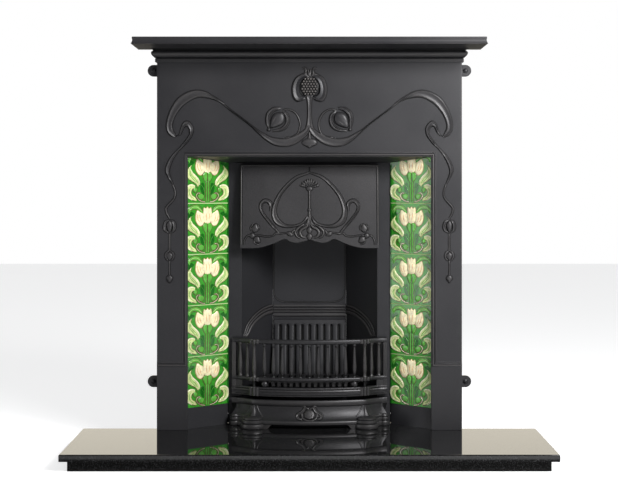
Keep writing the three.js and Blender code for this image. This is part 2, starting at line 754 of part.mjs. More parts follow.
function fireCheekGeometry() {
  const front = plateBack + fitGap;
  const backX = chamberBackHalf + fitGap;
  const backY = chamberBack + castWall;
  const [elbowOut, elbowBack] = cheekElbow;
  const plan = standing(shapeOf([
    [fireHalf, front], [fireHalf + castWall, front], [fireHalf + castWall + elbowOut, front + elbowBack],
    [backX + castWall, chamberBack - fitGap], [backX + castWall, backY], [backX, backY],
    [backX, chamberBack - fitGap],
  ]), 0, chamberHeight);
  const tabBack = front + cheekPlate;
  const tabs = cheekTabFeet.map((z) => box(fireHalf, fireHalf + fireTabWidth, front, tabBack, z, z + cheekTab));
  const ledge = ledgeBlock(grateTop - grateThickness - grateLedge - fitGap);
  const drilled = tabBack + 2 * boltHeadHeight + past;
  const holes = fireTabPlaces().map(([x, z]) => barY(x, front - overrun, drilled, z, boltHoleRadius));
  const headRoom = fireTabPlaces().map(([x, z]) => barY(x, tabBack, drilled, z, boltHeadRadius + overrun, 12));
  return cut(join(plan, ...tabs, ledge), ...holes, ...headRoom);
}

// Half width of the fire chamber at a distance behind the wall plane.
function chamberHalfAt(y) {
  const share = (y - plateBack) / (chamberBack - plateBack);
  return fireHalf + (chamberBackHalf - fireHalf) * share;
}

function ledgeBlock(z0) {
  const y0 = plateBack + ledgeFront;
  const y1 = backBrickFoot - ledgeBackGap;
  const root = castWall / 4;
  return standing(shapeOf([
    [chamberHalfAt(y0) - ledgeReach, y0], [chamberHalfAt(y0) + root, y0], [chamberHalfAt(y1) + root, y1],
    [chamberHalfAt(y1) - ledgeReach, y1],
  ]), z0, grateLedge);
}

function buildChamber() {
  const right = fireCheekGeometry();
  piece('fire_cheek_left', mirrored(right), blackedIron);
  piece('fire_cheek_right', right, blackedIron);
  for (const [side, sign] of sides) {
    for (const [i, [x, z]] of fireTabPlaces().entries()) {
      const bolt = piece(`fire_bolt_${side}_${i + 1}`, hexScrew(cheekPlate + fitGap + boltBite), boltSteel);
      bolt.rotation.x = Math.PI / 2;
      bolt.position.set(sign * x, plateBack + 2 * fitGap + cheekPlate, z);
    }
  }
  const half = chamberBackHalf;
  const panel = box(-half, half, chamberBack, chamberBack + castWall, 0, chamberHeight);
  const band = box(-half + reedBandInset, half - reedBandInset, chamberBack - reedBandRise,
    chamberBack + overrun, reedBandBottom, reedBandTop);
  piece('fireback_panel', join(panel, band), blackedIron);
  piece('back_brick', backBrickGeometry(), blackedIron);
}

// The ribbed lower back, leaning forward at its foot.
function backBrickGeometry() {
  const back = chamberBack - fitGap;
  const footTop = grateTop - grateThickness - backBrickToe;
  const faceAt = (z) => back - backBrickHead - backBrickSlope * (backBrickTop - z) / (backBrickTop - footTop);
  const section = shapeOf([
    [backBrickFoot, 0], [back, 0], [back, backBrickTop], [faceAt(backBrickTop), backBrickTop],
    [backBrickFoot, footTop],
  ]);
  const wide = chamberHalfAt(backBrickFoot);
  const block = sideways(section, -wide, wide);
  const trimHalf = (y) => chamberHalfAt(y) - backBrickGap;
  const [trimFront, trimBack] = [backBrickFoot - past, back + overrun];
  const trim = standing(shapeOf([
    [-trimHalf(trimFront), trimFront], [trimHalf(trimFront), trimFront],
    [trimHalf(trimBack), trimBack], [-trimHalf(trimBack), trimBack],
  ]), -overrun, backBrickTop + 2 * overrun);
  const slots = [];
  for (let i = 0; i < backBrickSlots; i += 1) {
    const x = (i - (backBrickSlots - 1) / 2) * backBrickSlotPitch;
    const z0 = footTop + backBrickSlotFoot;
    slots.push(sideways(shapeOf([
      [faceAt(z0) - past, z0], [faceAt(z0) + backBrickSlotDepth, z0],
      [faceAt(backBrickSlotTop) + backBrickSlotDepth, backBrickSlotTop],
      [faceAt(backBrickSlotTop) - past, backBrickSlotTop],
    ]), x - backBrickSlotWidth / 2, x + backBrickSlotWidth / 2));
  }
  return cut(geometryOf(solidOf(block).intersect(solidOf(trim))), ...slots);
}

// ---------------------------------------------------------------- smoke gather and damper

function tapered(bottom, top, z0, z1) {
  const rows = [bottom.map(([x, y]) => [x, y, z0]), top.map(([x, y]) => [x, y, z1])];
  return skinned(rows, bottom.map(([x, y]) => new THREE.Vector2(x, y)));
}

function buildGather() {
  const backY = chamberBack + castWall;
  const throatFront = backY - castWall - throatDepth;
  const foot = (inset) => [
    [-fireHalf - castWall + inset, plateBack + fitGap + inset],
    [fireHalf + castWall - inset, plateBack + fitGap + inset],
    [chamberBackHalf + castWall - inset, backY - inset],
    [-chamberBackHalf - castWall + inset, backY - inset],
  ];
  const head = (inset) => [
    [-throatWidth / 2 - castWall + inset, throatFront - castWall + inset],
    [throatWidth / 2 + castWall - inset, throatFront - castWall + inset],
    [throatWidth / 2 + castWall - inset, backY - inset],
    [-throatWidth / 2 - castWall + inset, backY - inset],
  ];
  const outer = tapered(foot(0), head(0), gatherBottom, gatherTop);
  const inner = tapered(foot(castWall), head(castWall), gatherBottom - overrun, gatherTop + overrun);
  piece('smoke_gather', cut(outer, inner), blackedIron);
}

function buildDamper() {
  const backY = chamberBack + castWall;
  const z0 = gatherTop + fitGap;
  const z1 = z0 + damperFrameThickness;
  const half = throatWidth / 2;
  const outerFront = backY - castWall - throatDepth - castWall;
  const openFront = outerFront + damperFrameBar + castWall / 2;
  const openBack = openFront + damperOpening;
  const openHalf = half - damperFrameBar;
  const hingeY = openBack + damperLap + damperHingeBack;
  const hingeZ = z1 + damperBarrelRadius + fitGap;
  const ring = cut(
    box(-half - castWall, half + castWall, outerFront, backY, z0, z1),
    box(-openHalf, openHalf, openFront, openBack, z0 - overrun, z1 + overrun));
  const flapHalf = openHalf + damperLap;
  const earX = flapHalf + damperEarGap;
  const ears = sides.map(([, sign]) => {
    const a = sign * earX;
    const b = sign * (earX + damperEarThickness);
    return box(Math.min(a, b), Math.max(a, b), hingeY - damperEarFront, hingeY + damperEarBack, z1 - overrun,
      hingeZ + damperEarTop);
  });
  const bore = rod(-half - past, half + past, hingeY, hingeZ, damperPinRadius + fitGap);
  piece('damper_frame', cut(join(ring, ...ears), bore), blackedIron);
  const flapZ = z1 + fitGap;
  const leaf = box(-flapHalf, flapHalf, openFront - damperLap, hingeY, flapZ, flapZ + damperThickness);
  const barrel = rod(-flapHalf, flapHalf, hingeY, hingeZ, damperBarrelRadius, 16);
  const eye = rod(-flapHalf - overrun, flapHalf + overrun, hingeY, hingeZ, damperPinRadius + fitGap);
  piece('damper_flap', cut(join(leaf, barrel), eye), blackedIron);
  const pinHalf = earX + damperEarThickness + damperPinEnd;
  piece('damper_pin', rod(-pinHalf, pinHalf, hingeY, hingeZ, damperPinRadius), boltSteel);
  piece('damper_pull', damperPull(openFront + pullInset, flapZ - fitGap), boltSteel);
}

// A bent rod with upright ends and a half-round bottom.
function damperPull(y, top) {
  const bend = [];
  for (let turn = 0; turn <= 6; turn += 1) {
    const angle = Math.PI * turn / 6;
    const z = top - pullDrop + pullHalf * (1 - Math.sin(angle));
    bend.push(new THREE.Vector3(-pullHalf * Math.cos(angle), y, z));
  }
  const arc = new THREE.CatmullRomCurve3([
    new THREE.Vector3(-pullHalf, y, top), ...bend, new THREE.Vector3(pullHalf, y, top)]);
  const section = new THREE.Shape();
  section.absarc(0, 0, pullRadius, 0, 2 * Math.PI, false);
  return new THREE.ExtrudeGeometry(section, {
    steps: 14, extrudePath: arc, curveSegments: 4, bevelEnabled: false,
  });
}

// ---------------------------------------------------------------- front bars and grate

// How far the bars' front stands out from the inner plate's face, at a distance from the centre line:
// a shallow bow between the corner posts, then a hollow sweep back to the ends.
function barsReach(x) {
  const off = Math.abs(x);
  if (off <= barsCornerHalf) {
    return barsCentreReach - (barsCentreReach - barsCornerReach) * (off / barsCornerHalf) ** 2;
  }
  const share = Math.min((off - barsCornerHalf) / barsCornerInset, 1);
  return barsCornerReach + (barsEndReach - barsCornerReach) * Math.sin(share * Math.PI / 2);
}

function barsPath(endHalf, setBack) {
  const inside = barsCornerHalf;
  const right = [0, 0.2, 0.4, 0.6, 0.8, 1].map((t) => t * inside);
  right.push(...[0.15, 0.3, 0.5, 0.75, 1].map((t) => inside + t * (endHalf - inside)));
  const left = right.slice(1).reverse().map((x) => -x);
  return [...left, ...right].map((x) => [x, plateFace - barsReach(x) + setBack]);
}

function rail(z0, z1) {
  return swept(barsPath(barsEndHalf, 0), [[-railDepth, z0], [0, z0], [0, z1], [-railDepth, z1]]);
}

function buildFrontBars() {
  const middle = (x) => plateFace - barsReach(x) + railDepth / 2;
  const parts = [
    rail(lowerRailBottom, lowerRailTop), rail(midRailBottom, midRailTop), rail(topRailBottom, topRailTop)];
  const baluster = (x) => post(x, middle(x), midRailTop - overrun, topRailBottom + overrun, balusterRadius, 6);
  const count = Math.floor((barsCornerHalf - cornerPostClear) / balusterPitch);
  for (let i = -count; i <= count; i += 1) {
    parts.push(baluster(i * balusterPitch));
  }
  for (const [, sign] of sides) {
    const corner = sign * barsCornerHalf;
    parts.push(post(corner, middle(corner), lowerRailBottom + overrun, topRailTop - overrun,
      cornerPostRadius));
    const endX = sign * (barsEndHalf - endPostWidth / 2);
    const span = (barsEndHalf - endPostWidth / 2 - barsCornerHalf) / (sideBalusters + 1);
    for (let i = 1; i <= sideBalusters; i += 1) {
      parts.push(baluster(sign * (barsCornerHalf + i * span)));
    }
    const endY = plateFace - barsEndReach;
    parts.push(box(endX - endPostWidth / 2, endX + endPostWidth / 2, endY, endY + railDepth,
      lowerRailBottom + overrun, topRailTop - overrun));
    const hookX = sign * hookCentre();
    const hookSides = [hookX - hookThickness / 2, hookX + hookThickness / 2];
    const hookFront = plateBack + hookPlay;
    const hookBack = hookFront + hookThickness;
    parts.push(box(...hookSides, endY + hookRoot, hookBack, hookNeckBottom, hookNeckBottom + hookNeckHeight));
    parts.push(box(...hookSides, hookFront, hookBack, hookNeckBottom - hookTongue, hookNeckBottom + overrun));
  }
  piece('front_bars', join(...parts), polishedIron);
}

function buildGrate() {
  const backY = backBrickFoot - grateSideGap;
  const frontHalf = barsCornerHalf - grateFrontInset;
  const [shoulder, corner] = grateShoulder.map((behind) => plateBack + behind);
  const frontPath = barsPath(barsEndHalf, railDepth + grateFrontGap).filter(([x]) => Math.abs(x) <= frontHalf);
  const sideAt = (y) => chamberHalfAt(y) - grateSideGap;
  const cornerHalf = Math.min(sideAt(corner), frontHalf);
  const outline = shapeOf([
    ...frontPath, [frontHalf, shoulder], [cornerHalf, corner], [sideAt(backY), backY],
    [-sideAt(backY), backY], [-cornerHalf, corner], [-frontHalf, shoulder],
  ]);
  const z0 = grateTop - grateThickness;
  const slots = [];
  for (let i = 0; i < grateSlots; i += 1) {
    const x = (i - (grateSlots - 1) / 2) * grateSlotPitch;
    const front = plateFace - barsReach(x) + railDepth + grateFrontGap;
    const side = Math.abs(x) + grateSlotWidth / 2 + grateSideGap + grateSlotSide;
    const rear = chamberRearAt(side, backY - grateBar);
    const middle = (front + rear) / 2;
    for (const [y0, y1] of [[front - past, middle - grateBar / 2], [middle + grateBar / 2, rear]]) {
      slots.push(box(x - grateSlotWidth / 2, x + grateSlotWidth / 2, y0, y1, z0 - overrun, grateTop + overrun));
    }
  }
  piece('bottom_grate', cut(standing(outline, z0, grateThickness), ...slots), polishedIron);
}

// The furthest y that a point at this half width can have inside the chamber, up to a limit.
function chamberRearAt(half, limit) {
  const share = (half - fireHalf) / (chamberBackHalf - fireHalf);
  return Math.min(limit, plateBack + share * (chamberBack - plateBack));
}

// ---------------------------------------------------------------- ash-pan cover and ash pan

function buildCover() {
  const flare = (x) => {
    const share = THREE.MathUtils.clamp((Math.abs(x) - barsCornerHalf) / barsCornerInset, 0, 1);
    return 1 - (1 - coverEndFlare) * share;
  };
  const path = barsPath(barsEndHalf, 0);
  const top = coverHeight;
  const neck = top - coverTopBead;
  const beadTop = coverSkirtBottom + coverBead;
  const hollow = coverHollow.map(([share, up]) => [coverFlare * share, coverSkirtBottom + up]);
  const outer = [
    [coverFlare, coverSkirtBottom], [coverFlare, beadTop], ...hollow, [coverLip, neck],
    [coverTopBeadRise, neck + coverBeadRound], [coverTopBeadRise, top - coverBeadRound], [coverLip, top],
  ];
  const inner = [
    [-coverWall, top], [-coverWall, neck],
    ...hollow.map(([out, z]) => [out - coverWall, z - coverLip]).reverse(),
    [coverFlare - coverWall, beadTop - 2 * coverLip], [coverFlare - coverWall, coverSkirtBottom],
  ];
  const shell = swept(path, [...outer, ...inner], flare);
  const feet = sides.flatMap(([, sign]) => [
    post(sign * (barsCornerHalf + coverFootOffset), plateFace - coverFootReach, 0, coverFootHeight,
      coverFootRadius, 16),
    post(sign * (barsEndHalf - coverRearFootInset), plateFace - coverRearFootReach, 0, coverFootHeight,
      coverRearFootRadius, 12),
  ]);
  piece('ash_cover', join(shell, ...feet), polishedIron);
}

function buildAshPan() {
  const half = panWidth / 2;
  const panFront = plateFace - barsReach(half) + coverWall + panFrontGap;
  const back = backBrickFoot - panBackGap;
  const inside = half - panWall;
  const tray = cut(
    box(-half, half, panFront, back, fitGap, panHeight),
    box(-inside, inside, panFront + panWall, back - panWall, fitGap + panWall, panHeight + overrun));
  piece('ash_pan', tray, sheetSteel);
  const grip = panHandleWidth / 2;
  const y = panFront - fitGap;
  const handle = standing(shapeOf([
    [-grip, y], [-grip, y - panHandleReach], [grip, y - panHandleReach], [grip, y],
    [grip - panHandleThickness, y], [grip - panHandleThickness, y - panHandleReach + panHandleThickness],
    [-grip + panHandleThickness, y - panHandleReach + panHandleThickness], [-grip + panHandleThickness, y],
  ]), panHandleBottom, panHandleHeight);
  piece('ash_pan_handle', handle, sheetSteel);
}

buildHearth();
buildSurround();
buildShelf();
buildCheeks();
buildSoffit();
buildInnerPlate();
buildHood();
buildChamber();
buildGather();
buildDamper();
buildFrontBars();
buildGrate();
buildCover();
buildAshPan();

export default fireplace;
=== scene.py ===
# %% [markdown]
# # A tiled cast iron fireplace on a granite hearth
# The real fireplace is a set of iron castings bolted together and blacked with graphite polish,
# with five glazed tiles set in each splayed side, standing on polished granite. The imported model
# already gives every part its true size and place, so each casting here is built round those sizes.

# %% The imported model
import json
import math

import bmesh
import bpy
import numpy as np
from mathutils import Matrix, Vector


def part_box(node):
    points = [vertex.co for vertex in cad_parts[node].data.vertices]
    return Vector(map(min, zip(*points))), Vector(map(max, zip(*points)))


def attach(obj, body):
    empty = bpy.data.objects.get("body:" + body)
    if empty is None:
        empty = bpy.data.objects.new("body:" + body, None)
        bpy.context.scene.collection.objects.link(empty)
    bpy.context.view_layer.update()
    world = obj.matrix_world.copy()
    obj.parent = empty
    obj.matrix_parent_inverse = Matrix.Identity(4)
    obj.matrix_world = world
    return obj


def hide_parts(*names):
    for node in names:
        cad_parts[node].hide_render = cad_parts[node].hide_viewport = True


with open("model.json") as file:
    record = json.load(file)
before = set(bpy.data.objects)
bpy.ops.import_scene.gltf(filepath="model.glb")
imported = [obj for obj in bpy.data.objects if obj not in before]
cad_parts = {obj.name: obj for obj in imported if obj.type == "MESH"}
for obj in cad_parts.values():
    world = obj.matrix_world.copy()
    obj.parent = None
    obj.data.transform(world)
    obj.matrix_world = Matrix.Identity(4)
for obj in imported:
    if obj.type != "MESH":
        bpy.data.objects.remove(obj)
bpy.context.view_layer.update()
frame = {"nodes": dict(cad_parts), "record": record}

# %% [markdown]
# ## Millimetres from the wall and the hearth
# A fitter measures a fireplace from the wall and from the top of the hearth, in millimetres. The
# model is in metres from its own origin, so one function turns the first into the second, and every
# shape below can be written in the fitter's numbers.

# %% Units and places
MM = 0.001
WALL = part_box("surround_front")[1].y      # the wall's face, which the surround's back touches
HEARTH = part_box("hearth_slab")[1].z       # the polished top of the hearth


def at(x, y, z):
    """A point given in mm: across, from the wall (minus is into the room), above the hearth."""
    return Vector((x * MM, WALL + y * MM, HEARTH + z * MM))


def extent(node):
    """The lowest and highest corner of a node, in the same mm."""
    low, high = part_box(node)
    return [(p.x / MM, (p.y - WALL) / MM, (p.z - HEARTH) / MM) for p in (low, high)]


SLOT = {part["node"]: part["material_slot"] for part in frame["record"]["subparts"]}
BODY = {node: body for body, nodes in frame["record"]["behaviour"]["bodies"].items()
        for node in nodes}
print("wall at y", round(WALL, 4), "hearth top at z", round(HEARTH, 4))

# %% [markdown]
# ## Camera
# The photograph was taken straight on with a longish lens, a little above the middle of the
# fireplace. A rotation of the camera would make the uprights lean, so the lens is shifted down
# instead, as the photographer of a building does.

# %% Camera
IMAGE_WIDTH, IMAGE_HEIGHT = 618, 493
LEVEL_X, LEVEL_Y = 310.1, 186.0           # pixel that all lines running straight back meet in
FOCAL_PIXELS = 1282
DISTANCE = 3866                           # mm from the wall
EYE_ACROSS, EYE_HEIGHT = 2, 731           # mm

lens = bpy.data.cameras.new("Camera")
lens.sensor_width = 36
lens.lens = lens.sensor_width * FOCAL_PIXELS / IMAGE_WIDTH
lens.shift_x = (IMAGE_WIDTH / 2 - LEVEL_X) / IMAGE_WIDTH
lens.shift_y = (LEVEL_Y - IMAGE_HEIGHT / 2) / IMAGE_WIDTH
camera = bpy.data.objects.new("Camera", lens)
camera.location = at(EYE_ACROSS, -DISTANCE, EYE_HEIGHT)
camera.rotation_euler = (math.radians(90), 0, 0)
scene = bpy.context.scene
scene.collection.objects.link(camera)
scene.camera = camera
scene.view_settings.view_transform = "Standard"
print("lens", round(lens.lens, 1), "mm, at", tuple(round(c, 3) for c in camera.location))

# %% [markdown]
# ## One way to write a colour and one way to add a node
# Colours are chosen on screen as sRGB hex, while a shader works in linear light, so a single
# function does that sum. A single function adds a node too: its settings are keywords and its
# inputs are a value, a socket, or another node whose first output is meant.

# %% Colour and node helpers


def colour(text):
    """sRGB hex to linear red, green, blue and alpha."""
    parts = [int(text[i:i + 2], 16) / 255 for i in (1, 3, 5)]
    return (*(p / 12.92 if p <= 0.04045 else ((p + 0.055) / 1.055) ** 2.4 for p in parts), 1.0)


def add(tree, kind, inputs=None, **settings):
    """One node of a kind, with its settings and its inputs set or linked."""
    node = tree.nodes.new(kind)
    for name, value in settings.items():
        setattr(node, name, value)
    for name, value in (inputs or {}).items():
        if isinstance(value, bpy.types.Node):
            value = value.outputs[0]
        if isinstance(value, bpy.types.NodeSocket):
            tree.links.new(value, node.inputs[name])
        else:
            node.inputs[name].default_value = value
    return node


def new_material(name):
    """A material with an empty tree, and the tree."""
    made = bpy.data.materials.new(name)
    made.use_nodes = True
    made.node_tree.nodes.clear()
    return made, made.node_tree


# %% [markdown]
# ## Floor, room and lamps
# The photograph shows the fireplace cut out on white. A white floor that glows a little for the
# camera stays white and still keeps the shadow. The polished hearth mirrors the warm wall behind it
# and the black castings mirror the room, so glossy rays see a bright warm half behind and a dim
# half in front. Near the hearth they see a dim floor too, because the slab shades the floor that
# its edge mirrors.

# %% Floor
FLOOR_HALF = 9000                          # mm
FLOOR_GLOW = 0.62                          # seen by the camera only, so it lights nothing
SHADED_TO, BRIGHT_FROM = -520, -570        # mm from the wall, where the hearth's shade ends
MATT = 0.9
floor_level = extent("hearth_riser_front")[0][2]
floor_mesh = bpy.data.meshes.new("floor")
floor_mesh.from_pydata([at(x * FLOOR_HALF, y * FLOOR_HALF, floor_level)
                        for x, y in ((-1, -1), (1, -1), (1, 1), (-1, 1))], [], [(0, 1, 2, 3)])
floor = bpy.data.objects.new("floor", floor_mesh)
scene.collection.objects.link(floor)

paint, tree = new_material("White studio floor")
rays = add(tree, "ShaderNodeLightPath")
glow = add(tree, "ShaderNodeMath", {0: rays.outputs["Is Camera Ray"], 1: FLOOR_GLOW},
           operation="MULTIPLY")
spot = add(tree, "ShaderNodeSeparateXYZ", {0: add(tree, "ShaderNodeTexCoord").outputs["Object"]})
shaded = add(tree, "ShaderNodeMapRange", {
    "Value": spot.outputs["Y"], "From Min": at(0, BRIGHT_FROM, 0).y,
    "From Max": at(0, SHADED_TO, 0).y})
dim = add(tree, "ShaderNodeMath", {0: rays.outputs["Is Glossy Ray"], 1: shaded},
          operation="MULTIPLY")
mirrored = add(tree, "ShaderNodeMix", {0: dim, 6: colour("#F4F4F4"), 7: colour("#4E4E4C")},
               data_type="RGBA")
shader = add(tree, "ShaderNodeBsdfPrincipled", {
    "Base Color": mirrored.outputs[2], "Roughness": MATT, "Specular IOR Level": 0.1,
    "Emission Color": colour("#FFFFFF"), "Emission Strength": glow})
add(tree, "ShaderNodeOutputMaterial", {"Surface": shader})
floor_mesh.materials.append(paint)
print("floor", 2 * FLOOR_HALF * MM, "m wide, at", floor_level, "mm")

# %% Room
WARM_WALL = (1.5, 1.4, 1.18, 1.0)          # brighter than white, as a lit studio wall is
WALL_FROM, WALL_FULL = 0.25, 0.6           # how far back a glossy ray points when it meets it
world = bpy.data.worlds.new("Studio")
world.use_nodes = True
scene.world = world
tree = world.node_tree
tree.nodes.clear()
rays = add(tree, "ShaderNodeLightPath")
direction = add(tree, "ShaderNodeSeparateXYZ",
                {0: add(tree, "ShaderNodeTexCoord").outputs["Generated"]})
behind = add(tree, "ShaderNodeMapRange", {
    "Value": direction.outputs["Y"], "From Min": WALL_FROM, "From Max": WALL_FULL})
mirrored = add(tree, "ShaderNodeMix", {0: behind, 6: colour("#4A4A4C"), 7: WARM_WALL},
               data_type="RGBA")
lit = add(tree, "ShaderNodeMix", {
    0: rays.outputs["Is Glossy Ray"], 6: colour("#858688"), 7: mirrored.outputs[2]},
    data_type="RGBA")
seen = add(tree, "ShaderNodeMix", {
    0: rays.outputs["Is Camera Ray"], 6: lit.outputs[2], 7: colour("#FFFFFF")}, data_type="RGBA")
sky = add(tree, "ShaderNodeBackground", {"Color": seen.outputs[2], "Strength": 1.0})
add(tree, "ShaderNodeOutputWorld", {"Surface": sky})
print("room has", len(tree.nodes), "nodes")


# %% [markdown]
# ## Lamps
# Three soft boxes light the castings. The key stands at the front right, and a smaller one nearer
# the right side, because the photograph's right half is brighter. The low fill at the left mostly
# puts a sheen on the mouldings, so its diffuse share is small.

# %% Lamps
FILL_DIFFUSE = 0.3


def lamp(name, place, target, width, height, power):
    """A soft box: a rectangle of light, in m and W, turned to its target, in mm."""
    data = bpy.data.lights.new(name, "AREA")
    data.shape = "RECTANGLE"
    data.size, data.size_y, data.energy = width, height, power
    held = bpy.data.objects.new(name, data)
    held.location = at(*place)
    held.rotation_euler = (at(*target) - held.location).to_track_quat("-Z", "Y").to_euler()
    scene.collection.objects.link(held)
    return held


lamp("key", (1900, -2900, 2450), (0, 0, 500), 1.0, 1.0, 66)
lamp("side", (1350, -1500, 1500), (350, 0, 650), 0.7, 0.9, 38)
lamp("fill", (-2700, -1200, 600), (0, 0, 450), 1.1, 1.7, 15).data.diffuse_factor = FILL_DIFFUSE

# %% [markdown]
# ## Blacked cast iron
# The castings are grey iron poured in sand, then rubbed with black lead, a graphite paste. That
# gives a satin black with a faint blue sheen, a fine sandy grain, and slightly brown and brighter
# edges where the brush rubs most. The grain is a fine bump, the sheen a low metallic value, and the
# tint stored at each point of the mesh paints wear and light together: above zero it is rubbed bare
# and brighter, with a painted highlight on rims and tops; below zero it is painted shade in hollows
# and creases, with the dull blacking that gathers there.

# %% Iron
SAND_SKIN = 4.5 * MM      # the lumps of a sand-cast skin; the noise's detail adds the finer grain
BRUSHED_PATCHES = 6.0     # per metre: where the brush has polished more and less
BLACKING_AND_SHADE = colour("#0B0B0C")             # painted shade in hollows, together with the blacking that gathers there
irons = {}
for slot, sheen, dull, bright, rubbed_and_highlight, metallic, rough_low, rough_high, skin in (
    ("blacked_iron", "satin", "#29292C", "#353538", "#64605E", 0.30, 0.38, 0.50, 0.25),
    ("burnished_iron", "bright", "#28282A", "#454446", "#686563", 0.52, 0.38, 0.50, 0.6),
):
    iron, tree = new_material(f"Black leaded cast iron, {sheen}")
    place = add(tree, "ShaderNodeTexCoord").outputs["Object"]
    grain = add(tree, "ShaderNodeTexNoise", {
        "Vector": place, "Scale": 1 / SAND_SKIN, "Detail": 5.0, "Roughness": 0.72})
    brushed = add(tree, "ShaderNodeTexNoise", {
        "Vector": place, "Scale": BRUSHED_PATCHES, "Detail": 4.0})
    # the tint paints rubbing with a painted highlight above zero, and painted shade below zero
    wear_and_light = add(tree, "ShaderNodeAttribute", attribute_name="tint")
    wear_and_highlight = add(tree, "ShaderNodeMath", {0: wear_and_light.outputs["Fac"], 1: brushed}, operation="MULTIPLY")
    coat = add(tree, "ShaderNodeMix", {0: grain, 6: colour(dull), 7: colour(bright)},
               data_type="RGBA")
    rubbed_and_highlit = add(tree, "ShaderNodeMix", {0: wear_and_highlight, 6: coat.outputs[2], 7: colour(rubbed_and_highlight)},
               data_type="RGBA")
    # below zero the tint paints shade into hollows and creases
    shade_mask = add(tree, "ShaderNodeMath", {0: wear_and_light.outputs["Fac"], 1: -1.0},
                 operation="MULTIPLY", use_clamp=True)
    base = add(tree, "ShaderNodeMix", {0: shade_mask, 6: rubbed_and_highlit.outputs[2], 7: BLACKING_AND_SHADE},
               data_type="RGBA")
    rough = add(tree, "ShaderNodeMapRange",
                {"Value": brushed, "From Min": 0.3, "From Max": 0.7, "To Min": rough_low,
                 "To Max": rough_high})
    bump = add(tree, "ShaderNodeBump", {"Height": grain, "Strength": 0.5, "Distance": skin * MM})
    shader = add(tree, "ShaderNodeBsdfPrincipled", {
        "Base Color": base.outputs[2], "Metallic": metallic, "Roughness": rough, "Normal": bump})
    add(tree, "ShaderNodeOutputMaterial", {"Surface": shader})
    irons[slot] = iron
print("irons", list(irons))

# %% [markdown]
# ## Polished granite
# Black granite is ground and polished until it is nearly a mirror. Close to, it has crystals of 1
# to 2 mm, slightly paler than the ground. A cell pattern gives each crystal its own shade, and the
# surface itself is left flat, because the polish levels it.

# %% Granite
CRYSTAL = 1.8 * MM
CLOUDS = 60.0             # per metre: slow changes of the ground, about 17 mm apart
granite, tree = new_material("Polished black granite")
place = add(tree, "ShaderNodeTexCoord").outputs["Object"]
cells = add(tree, "ShaderNodeTexVoronoi", {"Vector": place, "Scale": 1 / CRYSTAL})
cell_shade = add(tree, "ShaderNodeSeparateColor", {0: cells.outputs["Color"]})
speck = add(tree, "ShaderNodeMapRange", {    # only the palest quarter of the crystals shows
    "Value": cell_shade.outputs[0], "From Min": 0.72, "From Max": 1.0})
clouds = add(tree, "ShaderNodeTexNoise", {"Vector": place, "Scale": CLOUDS, "Detail": 4.0})
ground = add(tree, "ShaderNodeMix", {0: clouds, 6: colour("#0A0A0A"), 7: colour("#161617")},
             data_type="RGBA")
base = add(tree, "ShaderNodeMix", {0: speck, 6: ground.outputs[2], 7: colour("#3C3C3D")},
           data_type="RGBA")
polish = add(tree, "ShaderNodeMapRange", {"Value": clouds, "To Min": 0.02, "To Max": 0.05})
shader = add(tree, "ShaderNodeBsdfPrincipled", {
    "Base Color": base.outputs[2], "Roughness": polish, "IOR": 1.6})
add(tree, "ShaderNodeOutputMaterial", {"Surface": shader})
print(granite.name, "with crystals of", CRYSTAL / MM, "mm")

# %% [markdown]
# ## Glaze, cement and steel
# The tiles are press-moulded earthenware under clear coloured glazes. A glaze runs thin on raised
# lines and pools darker in hollows, and is as glossy as glass, with a slow unevenness of its
# surface. The hidden bed and core are sand and cement, the ash pan is rolled sheet and the bolts
# are blackened steel.

# %% Glaze
POOLS, SWELLS = 95.0, 45.0      # per metre: pools of glaze 10 mm apart, swells of its surface 22 mm
GLAZE_SWELL = 0.6 * MM
glaze, tree = new_material("Majolica glaze")
place = add(tree, "ShaderNodeTexCoord").outputs["Object"]
hue = add(tree, "ShaderNodeAttribute", attribute_name="tint")
pool = add(tree, "ShaderNodeTexNoise", {
    "Vector": place, "Scale": POOLS, "Detail": 4.0, "Roughness": 0.6})
depth = add(tree, "ShaderNodeMapRange", {
    "Value": pool, "From Min": 0.3, "From Max": 0.7, "To Min": 0.72, "To Max": 1.15})
base = add(tree, "ShaderNodeMix", {0: 1.0, 6: hue.outputs["Color"], 7: depth},
           data_type="RGBA", blend_type="MULTIPLY")
swell = add(tree, "ShaderNodeTexNoise", {"Vector": place, "Scale": SWELLS, "Detail": 1.0})
bump = add(tree, "ShaderNodeBump", {"Height": swell, "Strength": 0.4, "Distance": GLAZE_SWELL})
shader = add(tree, "ShaderNodeBsdfPrincipled", {
    "Base Color": base.outputs[2], "Roughness": 0.08, "IOR": 1.52, "Normal": bump})
add(tree, "ShaderNodeOutputMaterial", {"Surface": shader})

# %% Cement, grout and steel
ROUGH_SPREAD = 0.08       # how far the roughness strays either way over a surface
plain = {}
for name, low, high, grit_mm, metallic, rough, height_mm in (
    ("Sand and cement", "#6E6A60", "#98938A", 2.5, 0.0, 0.92, 0.6),
    ("Tile grout", "#A9BE7C", "#D6E2AC", 3.0, 0.0, 0.55, 0.2),
    ("Rolled black sheet steel", "#2C2C2E", "#414144", 9.0, 0.6, 0.48, 0.05),
    ("Blackened bolt steel", "#29292A", "#3C3B3B", 1.5, 0.8, 0.40, 0.05),
):
    made, tree = new_material(name)
    place = add(tree, "ShaderNodeTexCoord").outputs["Object"]
    grit = add(tree, "ShaderNodeTexNoise", {
        "Vector": place, "Scale": 1 / (grit_mm * MM), "Detail": 4.0})
    base = add(tree, "ShaderNodeMix", {0: grit, 6: colour(low), 7: colour(high)}, data_type="RGBA")
    spread = add(tree, "ShaderNodeMapRange", {
        "Value": grit, "To Min": rough - ROUGH_SPREAD, "To Max": rough + ROUGH_SPREAD})
    bump = add(tree, "ShaderNodeBump", {
        "Height": grit, "Strength": 0.5, "Distance": height_mm * MM})
    shader = add(tree, "ShaderNodeBsdfPrincipled", {
        "Base Color": base.outputs[2], "Metallic": metallic, "Roughness": spread, "Normal": bump})
    add(tree, "ShaderNodeOutputMaterial", {"Surface": shader})
    plain[name] = made

